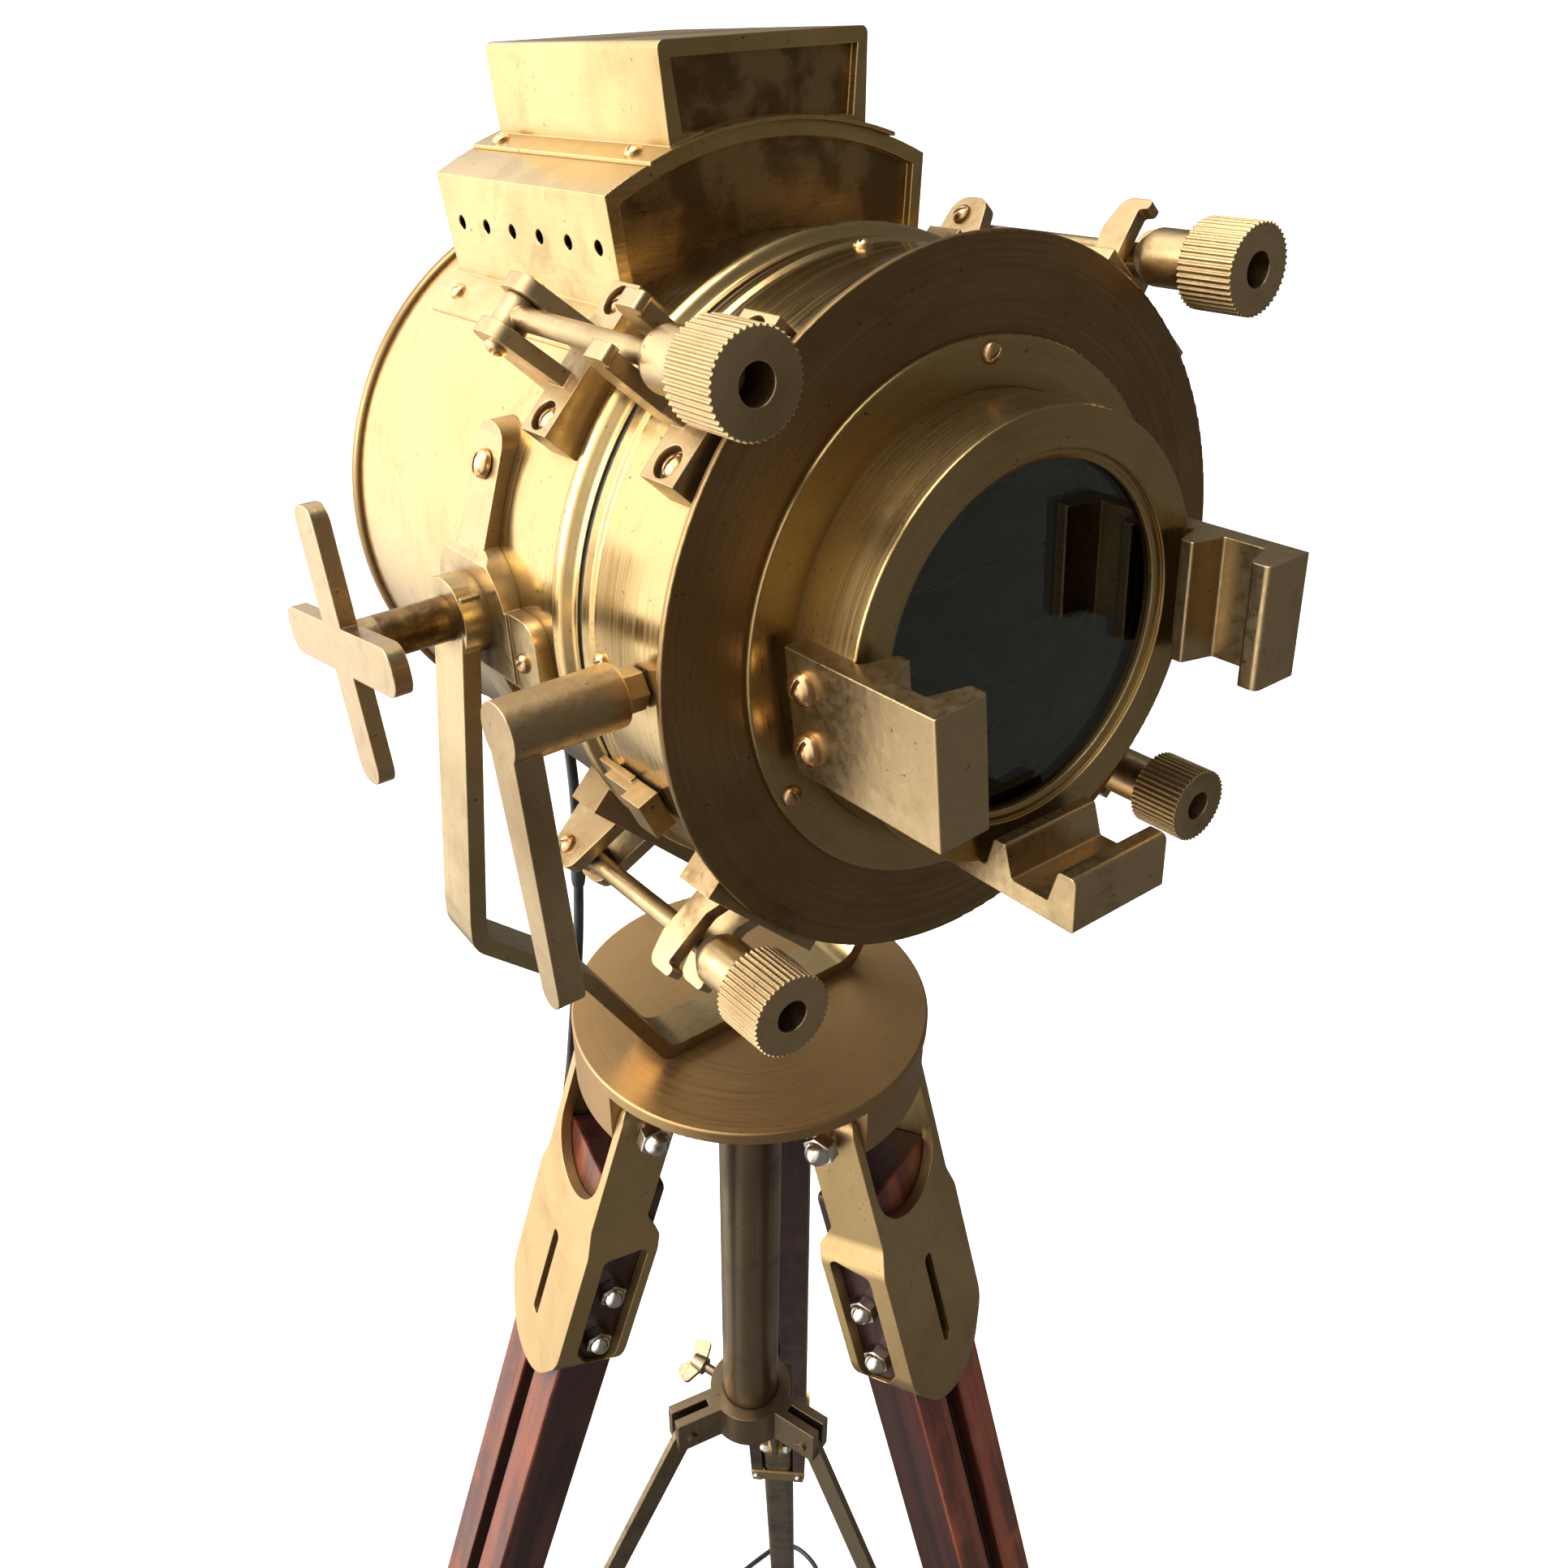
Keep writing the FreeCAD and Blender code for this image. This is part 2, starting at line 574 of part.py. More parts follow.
def struts():
    for name, azimuth in zip(LEG_NAMES, AZIMUTHS):
        upper, lower = strut_ends(azimuth)
        along = lower - upper
        length = along.Length
        a = math.radians(azimuth)
        across = Vector(-math.sin(a), math.cos(a), 0)
        half = S.strut_width / 2
        bar = padded(corners([(-half, -half), (half, -half), (half, length + half + 4),
                              (-half, length + half + 4)], half - 0.1), "$strut_thick", "XY", True,
                     "strut_bar", [(0, 0, 2.05)])
        lower_slot = fuse(cylinder(3.45, 20, (0, length - 3, -10)),
                          cylinder(3.45, 20, (0, length + 3, -10)),
                          block(6.9, 6, 20, (0, length, 0)))
        z_dir = across
        y_dir = along.normalize()
        x_dir = y_dir.cross(z_dir)
        turn = Rotation(x_dir, y_dir, z_dir, "YZX")
        node("strut_%s" % name, cut(bar, lower_slot), Placement(upper, turn))


# ---------------------------------------------------------------- yoke
def yoke():
    """A flat bar bent to a U with a dropped centre that sits on the disc."""
    t = S.bar_thick
    low = S.arm_low_out
    top = S.arm_top_out
    # outer (lower) line from the middle to the left arm's top, then back along the inner line
    outer = [(0, 0), (-57, 0), (-96, 66.5), (-low, 112), (-low + 0.5, 126),
             (-top, S.tilt_height + 12)]
    wall = [Vector(x, z, 0) for x, z in outer]
    inner = []
    for i, point in enumerate(wall):
        if i == 0:
            normal = Vector(0, 1, 0)
        elif i == len(wall) - 1:
            run = (wall[i] - wall[i - 1]).normalize()
            normal = Vector(run.y, -run.x, 0)
        else:
            one = (wall[i] - wall[i - 1]).normalize()
            two = (wall[i + 1] - wall[i]).normalize()
            first = Vector(one.y, -one.x, 0)
            second = Vector(two.y, -two.x, 0)
            normal = (first + second).normalize()
            normal = normal * (1 / normal.dot(first))
        inner.append(point + normal * t)
    left = [(p.x, p.y) for p in wall[1:]] + [(p.x, p.y) for p in reversed(inner[1:])]
    right = [(-x, z) for x, z in reversed(left)]
    outline = left + right
    inner_bend = 4.0
    radii_left = [9, 26, 14, 10, 0, 0, 10, 7, 26, inner_bend + t]
    radii = radii_left + radii_left[::-1]
    bar = padded(corners(outline, radii), "$bar_width", "XZ", True, "yoke_bar")
    ends = []
    trims = []
    for side in (-1, 1):
        eye = cylinder(14.6, t + 3.2, (side * (top + 1.2), 0, S.tilt_height), (-side, 0, 0))
        ends.append(eye)
        hole = cylinder("$shaft_rad + 0.06", 40, (side * (top - 20), 0, S.tilt_height), (side, 0, 0))
        trims.append(hole)
        crown = block(30, 60, 30, (side * top, 0, S.tilt_height + 15 + 11.0))
        trims.append(cut(crown, cylinder(14.6, 60, (side * top - 30, 0, S.tilt_height), X_AXIS)))
    pan_hole = cylinder(4.06, 30, (0, 0, -5))
    place = Placement(Vector(0, 0, S.disc_top), Rotation())
    node("yoke_bar", cut(fuse(bar, *ends), pan_hole, *trims), place)


# ---------------------------------------------------------------- lamp head
GLAND_X = -2.0
GLAND_W = -80.0
RING_SCREW_START = 86.0
RING_SCREW_OUT = 86.5
VENT_W = 115.5


def stack_screws():
    """The places of the screws through the stack's foot."""
    crown = S.box_crown + 1.3
    x = S.stack_half_low + 6.5
    w = math.sqrt(crown ** 2 - x ** 2)
    places = []
    for side in (-1, 1):
        out = (side * x / crown, w / crown, 0)
        for v in (S.box_rear + 16, S.box_front - 14):
            places.append((3.3, (side * x, w, v), out, 25 + v, 3))
    return places


def box_screws():
    """The places of the screws through the chimney box's feet."""
    r = S.drum_rad + 1.3
    x = S.box_half_low + 8.5
    w = math.sqrt(r ** 2 - x ** 2)
    places = []
    for side in (-1, 1):
        out = (side * x / r, w / r, 0)
        for v in (S.box_rear + 12, S.box_front - 22):
            places.append((3.3, (side * x, w, v), out, 60 + v, 3))
    return places


def drum():
    """The rear housing: a rolled sheet cylinder with a raised bead and a rolled rear rim."""
    r = S.drum_rad
    rear = S.drum_rear
    seam = S.drum_seam
    t = S.sheet
    bead = seam - 7.5
    profile = [(r - t, rear), (r, rear), (r, bead - 6), (r + 4.6, bead - 2.5), (r + 4.6, bead + 2),
               (r + 0.6, bead + 5.5), (r + 0.6, seam), (r - t, seam)]
    shell = turned(profile, "drum_shell", [0, 0, 2.5, 3.6, 3.6, 1.5, 0, 0])
    side_hole = []
    for side in (-1, 1):
        side_hole.append(cylinder(9, 30, (side * (r - 15), 0, 0), (side, 0, 0)))
    top_vent = block(90, 60, 92, (0, r, (S.box_rear + S.box_front) / 2))
    node("drum_shell", cut(shell, top_vent, *side_hole, *screw_holes(box_screws())), HEAD)
    rim = torus(r - 0.6, 2.9, (0, 0, rear - 0.5))
    rim = cut(rim, cylinder(r + 0.02, 10, (0, 0, rear)))
    plate = turned([(0, rear - 2), (109.5, rear - 2), (109.5, rear + 0.3), (r - t - 0.05, rear + 0.3),
                    (r - t - 0.05, rear + 7), (r - 3, rear + 7), (r - 3, rear + 1.8),
                    (108, rear + 1.8), (108, rear - 0.5), (0, rear - 0.5)], "rear_plate",
                   [0, 1, 0, 0, 0, 0, 0, 0, 0.5, 0])
    plate = fuse(plate, cylinder(70, 4, (0, 0, rear - 4.5)))
    gland_hole = cylinder(4.2, 30, (GLAND_X, GLAND_W, rear - 15))
    cover = cut(plate, gland_hole, cylinder(12.2, 40, (0, 0, rear - 20)))
    node("rear_cover", group(cover, rim), HEAD)
    seal = cut(cylinder("$drum_rad - 0.4", S.ring_start - seam, (0, 0, seam)),
               cylinder("$drum_rad - 6", 20, (0, 0, seam - 5)))
    node("seam_gasket", seal, HEAD)


def retainer_screws():
    """The places of the three screws on the retaining ring."""
    places = []
    for k in range(3):
        a = math.radians(RING_SCREW_START + 120 * k)
        at = (RING_SCREW_OUT * math.cos(a), RING_SCREW_OUT * math.sin(a), S.flange_at + 4.4)
        places.append((3.6, at, (0, 0, 1), 40 + 70 * k, 3))
    return places


def front_screws():
    """The places of the four screws round the front ring."""
    places = []
    for angle in (178, 2, 92, 268):
        a = math.radians(angle)
        out = (math.cos(a), math.sin(a), 0)
        at = (S.drum_rad * out[0], S.drum_rad * out[1], S.ring_start + 10.2)
        places.append((3.2, at, out, 30, 3))
    return places


def front_ring():
    r = S.drum_rad
    start = S.ring_start
    front = S.flange_at
    profile = [(r - 2, start), (r + 1.0, start), (r + 1.0, start + 5), (r, start + 6.5),
               (r, front), (r - 2, front)]
    shell = turned(profile, "front_ring", [0, 0.5, 0.5, 0.5, 0, 0])
    shaft_hole = cylinder(4.06, 30, (-r - 8, S.lever_w, S.lever_v), X_AXIS)
    node("front_ring", cut(shell, shaft_hole, *screw_holes(front_screws())), HEAD)
    flange = turned([(78, front), (S.flange_rad, front), (S.flange_rad, front + 2.4),
                     (78, front + 2.4)], "front_flange", [0, 0.5, 0.8, 0])
    holes = screw_holes(retainer_screws())
    node("front_flange", cut(flange, *holes), HEAD)
    face = front + 2.4
    ring = turned([(S.snout_rad + 0.1, face), (S.retainer_rad, face),
                   (S.retainer_rad, face + 2.0), (S.snout_rad + 0.1, face + 2.0)],
                  "retaining_ring", [0, 0, 0.9, 0])
    node("retaining_ring", cut(ring, *screw_holes(retainer_screws())), HEAD)


def snout():
    r = S.snout_rad
    front = S.snout_front
    g = S.glass_rad
    profile = [(g + 5, 119.6), (r + 2.2, 119.6), (r + 2.2, 121.8), (r, 121.8), (r, front),
               (g + 3.2, front), (g + 3.2, front - 12), (g + 5, front - 12)]
    tube_body = turned(profile, "snout", [0, 0, 0, 0, 0.7, 0.5, 0, 0])
    ring = turned([(g, front - 4.4), (g + 3.2, front - 4.4), (g + 3.2, front - 1.6),
                   (g + 1.4, front - 1.6), (g, front - 2.6)], "glass_ring")
    node("snout", group(tube_body, ring), HEAD)
    glass = turned([(0, front - 8.4), (g + 3.2, front - 8.4), (g + 3.2, front - 4.4),
                    (0, front - 4.4)], "glass")
    node("front_glass", glass, HEAD)


def chimney_box():
    """The lower chimney box: flared sides and a top that follows the drum's curve."""
    low = S.box_half_low
    high = S.box_half_high
    crown = S.box_crown
    length = S.box_front - S.box_rear
    t = S.sheet

    def blank(inset, rear, depth):
        h = high - inset
        c = crown - inset
        e = math.sqrt(c ** 2 - h ** 2)
        pts = [Vector(-low + inset, 84, 0), Vector(-h, e, 0), Vector(h, e, 0),
               Vector(low - inset, 84, 0)]
        edges = [Part.LineSegment(pts[0], pts[1]), Part.Arc(pts[1], Vector(0, c, 0), pts[2]),
                 Part.LineSegment(pts[2], pts[3]), Part.LineSegment(pts[3], pts[0])]
        body = padded(edges, depth, "XY", False, "box_blank")
        body.Placement.Base = Vector(0, 0, rear)
        return body

    outer = blank(0, S.box_rear, length)
    hollow = blank(t, S.box_rear + t + S.panel_deep, length - 2 * (t + S.panel_deep))
    drum_cut = cylinder("$drum_rad + 0.05", 300, (0, 0, -150))
    panel_front = blank(5.0, S.box_front - S.panel_deep, 8)
    panel_rear = blank(5.0, S.box_rear + S.panel_deep - 8, 8)
    vents = []
    for k in range(6):
        v = S.box_rear + 13 + k * 20.0
        vents.append(cylinder(2.6, 200, (-100, VENT_W, v), X_AXIS))
    port = block(2 * S.stack_half_low - 8, 60, S.box_front - S.box_rear - 16,
                 (0, crown, (S.box_front + S.box_rear) / 2))
    shell = cut(outer, hollow, drum_cut, panel_front, panel_rear, port, *vents)
    # the feet that lie on the drum, one along each side
    wing = cut(cylinder("$drum_rad + 1.3", length - 14, (0, 0, S.box_rear + 0.5)),
               cylinder("$drum_rad + 0.05", 300, (0, 0, -150)))
    keep = []
    for side in (-1, 1):
        keep.append(block(17, 60, 300, (side * (low + 6.5), 90, 0)))
    feet = common(wing, group(*keep))
    holes = screw_holes(box_screws() + stack_screws())
    node("chimney_box", cut(fuse(shell, feet), *holes), HEAD)


def chimney_stack():
    """The upper chimney: a flared sheet box on a curved foot, with a flat lid."""
    low = S.stack_half_low
    high = S.stack_half_high
    crown = S.box_crown
    rear = S.box_rear + 5
    front = S.box_front - 1.0
    t = S.sheet
    outline = [(-low, 130), (-high, S.stack_top), (high, S.stack_top), (low, 130)]
    outer = padded(corners(outline, [0, 2.5, 2.5, 0]), front - rear, "XY", False, "stack")
    outer.Placement.Base = Vector(0, 0, rear)
    inside = [(-low + t, 100), (-high + t, S.stack_top - t), (high - t, S.stack_top - t),
              (low - t, 100)]
    clear = front - rear - 2 * (t + S.panel_deep)
    hollow = padded(corners(inside, 0), clear, "XY", False, "stack_hollow")
    hollow.Placement.Base = Vector(0, 0, rear + t + S.panel_deep)
    panel = [(-low + 4.5, crown - 1), (-high + 4.5, S.stack_top - 5), (high - 4.5, S.stack_top - 5),
             (low - 4.5, crown - 1)]
    faces = []
    for v in (front - S.panel_deep, rear + S.panel_deep - 8):
        face = padded(corners(panel, 0), 8, "XY", False, "stack_panel")
        face.Placement.Base = Vector(0, 0, v)
        faces.append(face)
    seat = cylinder("$box_crown + 0.05", 300, (0, 0, -150))
    shell = cut(outer, hollow, seat, *faces)
    foot_ring = cut(cylinder("$box_crown + 1.3", front - rear + 8, (0, 0, rear - 4)),
                    cylinder("$box_crown + 0.05", 300, (0, 0, -150)))
    strip = block(2 * low + 22, 60, 300, (0, crown, 0))
    mouth = block(2 * (low - t), 60, clear, (0, crown, (front + rear) / 2))
    foot_plate = cut(common(foot_ring, strip), mouth)
    node("chimney_stack", cut(fuse(shell, foot_plate), *screw_holes(stack_screws())), HEAD)


# ---------------------------------------------------------------- trunnions and tilt lock
def trunnion(side):
    """A cast bracket on the drum's side: a boss on the tilt axis with straps up and down."""
    r = S.drum_rad
    face = 120.6
    strap = [(-9.5, -64), (-9.5, 64), (9.5, 64), (9.5, -64)]
    upright = padded(corners(strap, 9.4), 60, "XY", False, "strap")
    disc_pad = cylinder(25.5, 60, (0, 0, 0))
    tab_edge = [(0, 6), (0, -24), (-side * 43, -24), (-side * 43, 6)]
    tab = padded(corners(tab_edge, [0, 0, 8, 8]), 60, "XY", False, "tab")
    # profile coordinates are (-side v, w); the stack grows outward from x = 70
    outward = Rotation(Vector(0, 0, -side), Vector(0, 1, 0), Vector(side, 0, 0), "ZYX")
    blank = fuse(upright, disc_pad, tab)
    moved(blank, Placement(Vector(side * 70, 0, 0), outward))
    edge = [(70, -70), (103, -70), (104, -60), (face - 2.5, -22), (face, -20), (face, 20),
            (face - 2.5, 22), (104, 60), (103, 70), (70, 70)]
    edge = [(side * x, w) for x, w in edge]
    if side < 0:
        edge = edge[::-1]
    shape = padded(corners(edge, [0, 0, 2, 3, 1, 1, 3, 2, 0, 0]), 200, "XY", True, "side_view")
    tab_trim = block(60, 60, 60, (side * (119.5 + 30), 0, 56))
    seat = cylinder(r + 0.05, 300, (0, 0, -150))
    bore = cylinder("$shaft_rad + 0.06", 60, (side * 80, 0, 0), (side, 0, 0))
    return cut(common(blank, shape), seat, bore, tab_trim, *screw_holes(trunnion_screws(side)))


def trunnion_screws(side):
    """The places of a bracket's two strap screws and the screw on its tab."""
    places = []
    slope = 16.6 / 38.0
    for w in (50.0, -50.0):
        x = side * (104 + (60 - abs(w)) * slope)
        out = Vector(side, math.copysign(slope, w), 0).normalize()
        places.append((5.2, (x, w, 0), tuple(out), 70, 5))
    places.append((3.6, (side * 119.5, -10, 33), (side, 0, 0), 40, 4))
    return places


def tilt_lock():
    """The four-armed handle on its shaft, left side."""
    arm = S.handle_arm
    half = S.handle_wide / 2
    flat = []
    for k in range(2):
        bar = padded(corners([(-half, -arm), (half, -arm), (half, arm), (-half, arm)],
                             [half * 0.8] * 4), 6.0, "XY", False, "handle_bar")
        moved(bar, Placement(Vector(), Rotation(Vector(0, 0, 1), 90 * k)))
        flat.append(bar)
    cross = fuse(*flat)
    # the plate's own Z points outward along -x
    turn = Rotation(Vector(0, 1, 0), -90)
    moved(cross, Placement(Vector(-S.handle_at, 0, 0), turn.multiply(Rotation(Vector(0, 0, 1), 8))))
    shaft = cylinder("$shaft_rad", S.handle_at - 106, (-S.handle_at, 0, 0), X_AXIS)
    node("tilt_handle", fuse(cross, shaft), HEAD)
    stub = cylinder("$shaft_rad", 34, (106, 0, 0), X_AXIS)
    cap = turned([(0, 0), (13, 0), (13, 4), (9, 8), (0, 9)], "cap", [0, 0, 2, 2, 0])
    moved(cap, Placement(Vector(136, 0, 0), towards(X_AXIS)))
    node("trunnions", group(trunnion(-1), trunnion(1), fuse(stub, cap)), HEAD)


# ---------------------------------------------------------------- latches
LATCHES = {"ul": (-1, 1), "ur": (1, 1), "ll": (-1, -1), "lr": (1, -1)}
PIN_V = 22.0
REAR_BASE_V = 38.5
FRONT_BASE_V = 110.5
EAR_GAP = 11.0
EAR_THICK = 5.5
SCREW_SPAN = 21.5


def latch_frame(name):
    """Origin on the drum's axis; z is v, y points outward at the latch, x is across it."""
    sx, sw = LATCHES[name]
    angle = math.degrees(math.atan2(sw, sx))
    return Placement(Vector(), Rotation(Vector(0, 0, 1), angle - 90))


def clevis_ear(points, radii, side):
    """A cheek in the plane of the bolt; points are (y, z) = (radius, v)."""
    body = padded(corners(points, radii), EAR_THICK, "YZ", False, "ear")
    x = EAR_GAP / 2 if side > 0 else -EAR_GAP / 2 - EAR_THICK
    body.Placement.Base = Vector(x, 0, 0)
    return body


def clevises():
    r = S.drum_rad
    rho = S.latch_radius
    rear_parts = []
    front_parts = []
    screws = []
    for name in LATCHES:
        frame = latch_frame(name)
        # rear clevis: a base across the drum and two upright ears with the bolt's pin
        base = block(56, 14, 16, (0, r + 3, REAR_BASE_V))
        ear = [(r - 6, 46), (r - 6, 15), (rho + 8, PIN_V - 8), (rho + 8, PIN_V + 8)]
        ears = [clevis_ear(ear, [0, 0, 6.5, 6.5], side) for side in (-1, 1)]
        seat = cylinder(r + 0.05, 300, (0, 0, -150))
        pin_hole = cylinder(2.55, 60, (-30, rho, PIN_V), X_AXIS)
        rear = cut(fuse(base, *ears), seat, pin_hole, *screw_wells(REAR_BASE_V))
        rear_parts.append(moved(rear, frame))
        # front clevis: a base behind the flange and two ears with hooked tips
        base = block(56, 14, 17, (0, r + 3, FRONT_BASE_V))
        hook = [(r - 6, 118.5), (r - 6, 99), (rho + 2, 91), (rho + 14, 93), (rho + 14, 105.2),
                (rho + 10.5, 105.2), (rho + 10, 101.5), (rho + 2, 102.6), (rho - 11, 104.6)]
        ears = [clevis_ear(hook, [0, 0, 8, 5, 1.6, 1.2, 1, 4, 2], side) for side in (-1, 1)]
        seat = cylinder(r + 0.05, 300, (0, 0, -150))
        front = cut(fuse(base, *ears), seat, *screw_wells(FRONT_BASE_V))
        front_parts.append(moved(front, frame))
        for x in (-SCREW_SPAN, SCREW_SPAN):
            for v in (REAR_BASE_V, FRONT_BASE_V):
                screw = slotted_screw(4.4, (x, r + 6.6, v), (0, 1, 0), 50 + 3 * x, 1.5)
                screws.append(moved(screw, frame))
        out = EAR_GAP / 2 + EAR_THICK
        pin = cylinder(2.5, 2 * out, (-out, rho, PIN_V), X_AXIS)
        heads = [slotted_screw(3.9, (side * out, rho, PIN_V), (side, 0, 0), 35, 1)
                 for side in (-1, 1)]
        screws.append(moved(fuse(pin, *heads), frame))
    node("clevises", group(*rear_parts, *front_parts), HEAD)
    return screws


def screw_wells(v):
    """Counterbores and shank holes for a clevis base's two screws."""
    wells = []
    for x in (-SCREW_SPAN, SCREW_SPAN):
        wells.append(cylinder(5.4, 6, (x, S.drum_rad + 6.6, v), Y_AXIS))
        wells.append(cylinder(2.0, 2, (x, S.drum_rad + 5.05, v), Y_AXIS))
    return wells


def swing_bolts():
    rho = S.latch_radius
    for name in LATCHES:
        frame = latch_frame(name)
        eye = cylinder(6.0, EAR_GAP - 0.6, (-EAR_GAP / 2 + 0.3, rho, PIN_V), X_AXIS)
        rod = cylinder("$bolt_rad", 119, (0, rho, PIN_V))
        hole = cylinder(2.56, 20, (-10, rho, PIN_V), X_AXIS)
        node("bolt_%s" % name, moved(cut(fuse(eye, rod), hole), frame), HEAD)
        # knurled knob: a smooth collar that bears on the ears, then a ribbed head with a bore
        start = 105.8
        collar = turned([(0, start), (S.collar_rad - 3, start), (S.collar_rad, start + 5),
                         (S.collar_rad, 131), (0, 131)], "collar", [0, 0, 4, 0, 0])
        grip = cylinder("$knob_rad", 21, (0, 0, 130.5))
        ribs = []
        count = 44
        for k in range(count):
            a = 2 * math.pi * k / count
            ribs.append(cylinder(0.72, 30, (S.knob_rad * math.cos(a), S.knob_rad * math.sin(a), 127)))
        bore = cylinder("$bolt_rad + 0.06", 60, (0, 0, 90))
        mouth = cylinder(5.8, 14, (0, 0, 138))
        knob = cut(fuse(collar, grip), bore, mouth, *ribs)
        moved(knob, Placement(Vector(0, rho, 0), Rotation()))
        node("knob_%s" % name, moved(knob, frame), HEAD)


# ---------------------------------------------------------------- filter holders
def holder_blank():
    """A holder for the left of the snout: profile in (x, v), standing up along w."""
    out = S.holder_out
    front = S.holder_front
    floor = -out + 7.2
    tip = -out + 19
    profile = [(-out, 131), (-out, front), (tip + 1, front), (tip + 1, front - 7.5),
               (floor, front - 11.5), (floor, front - 27.5), (tip, front - 31),
               (tip, front - 36), (floor, front - 39.4), (floor, 131)]
    edges = corners(profile, [0.6, 0.8, 2.5, 1.5, 1, 1, 1.2, 1.2, 3, 0])
    # the sketch plane is x-v: XZ in the head frame's local axes
    body = padded(edges, 2 * S.holder_half, "XZ", True, "holder")
    saddle = cylinder("$snout_rad + 0.05", S.snout_front - 80 + 0.4, (0, 0, 80))
    return cut(body, saddle, *screw_holes(holder_screws()))


def holder_screws():
    """The places of one holder's two screws."""
    return [(5.9, (-S.holder_out, w, 139.0), (-1, 0, 0), 65, 4.1) for w in (10.5, -10.5)]


def filter_holders():
    pieces = []
    screws = []
    for angle in (3.5, 90, 180):
        turn = Placement(Vector(), Rotation(Vector(0, 0, 1), angle))
        pieces.append(moved(holder_blank(), turn))
        screws += [moved(screw, turn) for screw in set_screws(holder_screws())]
    node("filter_holders", group(*pieces), HEAD)
    return screws


# ---------------------------------------------------------------- shutter
def shutter():
    """The hand lever turns the middle vane; the others are linked to it."""
    w0 = S.lever_w
    v0 = S.lever_v
    out = S.lever_out
    r = S.drum_rad
    shaft = cylinder(4.0, out - 82.6, (-out + 4, w0, v0), X_AXIS)
    hub = cylinder(10.2, out - r - 9, (-out, w0, v0), X_AXIS)
    grip_out = [(-7.5, 9), (-7.5, 0), (-5.2, -S.lever_length), (5.2, -S.lever_length), (7.5, 0),
                (7.5, 9)]
    # arm outline in (v, w): hangs down and a little forward
    arm = padded(corners([(v, w) for v, w in grip_out], [7, 0, 5, 5, 0, 7]), 9.5, "XY", False, "arm")
    turn = Rotation(Vector(0, 0, -1), Vector(0, 1, 0), Vector(1, 0, 0), "ZYX")
    swing = Rotation(Vector(1, 0, 0), -5.0)
    moved(arm, Placement(Vector(-out, w0, v0), swing.multiply(turn)))
    node("shutter_lever", fuse(hub, arm, shaft), HEAD)
    hexagon = [(7.2 * math.cos(math.radians(60 * k)), 7.2 * math.sin(math.radians(60 * k)))
               for k in range(6)]
    nut = padded(corners(hexagon, 0), 6.5, name="gland_nut")
    moved(nut, Placement(Vector(-r - 7.2, w0, v0), towards(X_AXIS)))
    flat = cut(nut, cylinder(4.06, 30, (-r - 15, w0, v0), X_AXIS),
               cylinder("$drum_rad + 0.02", 80, (0, 0, 60)))
    node("ring_fittings", group(flat, seam_clip()), HEAD)
    bars = []
    reach = S.vane_pitch + S.vane_wide / 2 + 0.5
    for side in (-1, 1):
        bars.append(block(160, 16, 1.5, (0, w0 + side * (reach + 8), v0)))
    for side in (-1, 1):
        bar = block(5, 126, 12, (side * 82.5, w0, v0))
        holes = [cylinder(2.1, 20, (side * 82.5 - 10, w0 + k * S.vane_pitch, v0), X_AXIS)
                 for k in (-1, 0, 1)]
        if side < 0:
            holes.append(cylinder(4.06, 20, (-92, w0, v0), X_AXIS))
        foot_low = block(5, 12, 14, (side * 82.5, w0 - 57, v0 + 12.5))
        foot_high = block(5, 12, 14, (side * 82.5, w0 + 57, v0 + 12.5))
        bars.append(cut(fuse(bar, foot_low, foot_high), *holes))
    rim = cut(cylinder(110, 2.5, (0, 0, 117.0)), cylinder(78.2, 10, (0, 0, 112)))
    node("shutter_frame", fuse(*bars, rim), HEAD)
    for k in (-1, 0, 1):
        w = w0 + k * S.vane_pitch
        blade = block(157, S.vane_wide, 1.4, (0, w, v0), Rotation(Vector(1, 0, 0), 62))
        rib = cylinder(2.6, 157, (-78.5, w, v0), X_AXIS)
        pins = [cylinder(2.0, 166, (-83, w, v0), X_AXIS)]
        if k == 0:
            pins = [cylinder(2.0, 83, (0, w, v0), X_AXIS)]
        label = "vane_%d" % (k + 2)
        node(label, fuse(blade, rib, *pins), HEAD)


# ---------------------------------------------------------------- inside the drum
def optics():
    rear = S.drum_rear
    reflector = []
    steps = 9
    for i in range(steps):
        radius = 16 + (96 - 16) * i / (steps - 1)
        reflector.append((radius, -72 + radius ** 2 / 150.0))
    outer = [(x + 1.5, z - 0.9) for x, z in reversed(reflector)]
    node("reflector", turned(reflector + outer, "reflector"), HEAD)
    stem = cylinder(12.0, 46, (0, 0, rear - 8))
    socket = cylinder(15.5, 26, (0, 0, rear + 26))
    lip = cylinder(18.0, 3, (0, 0, rear + 22))
    node("lamp_holder", cut(fuse(stem, socket, lip), cylinder(13.2, 30, (0, 0, rear + 44))), HEAD)
    base = cylinder(13.0, 12, (0, 0, rear + 44.2))
    bulb = turned([(0, rear + 56), (13, rear + 56), (15, rear + 66), (27, rear + 84),
                   (27, rear + 104), (14, rear + 117), (0, rear + 118)], "bulb",
                  [0, 0, 10, 16, 16, 10, 0])
    node("lamp_bulb", fuse(base, bulb), HEAD)


def cord_gland():
    """The tapered strain relief on the rear cover, pointing straight back."""
    rear = S.drum_rear
    profile = [(3.05, 0), (3.05, -27), (4.4, -27), (6.6, -5), (9.0, -5), (9.0, -1.4), (4.1, -1.4),
               (4.1, 0)]
    gland = turned(profile, "gland", [0, 0, 0.5, 0.5, 1, 0, 0, 0])
    seat = Placement(Vector(GLAND_X, GLAND_W, rear - 0.65), Rotation())
    node("cord_gland", gland, HEAD.multiply(seat))


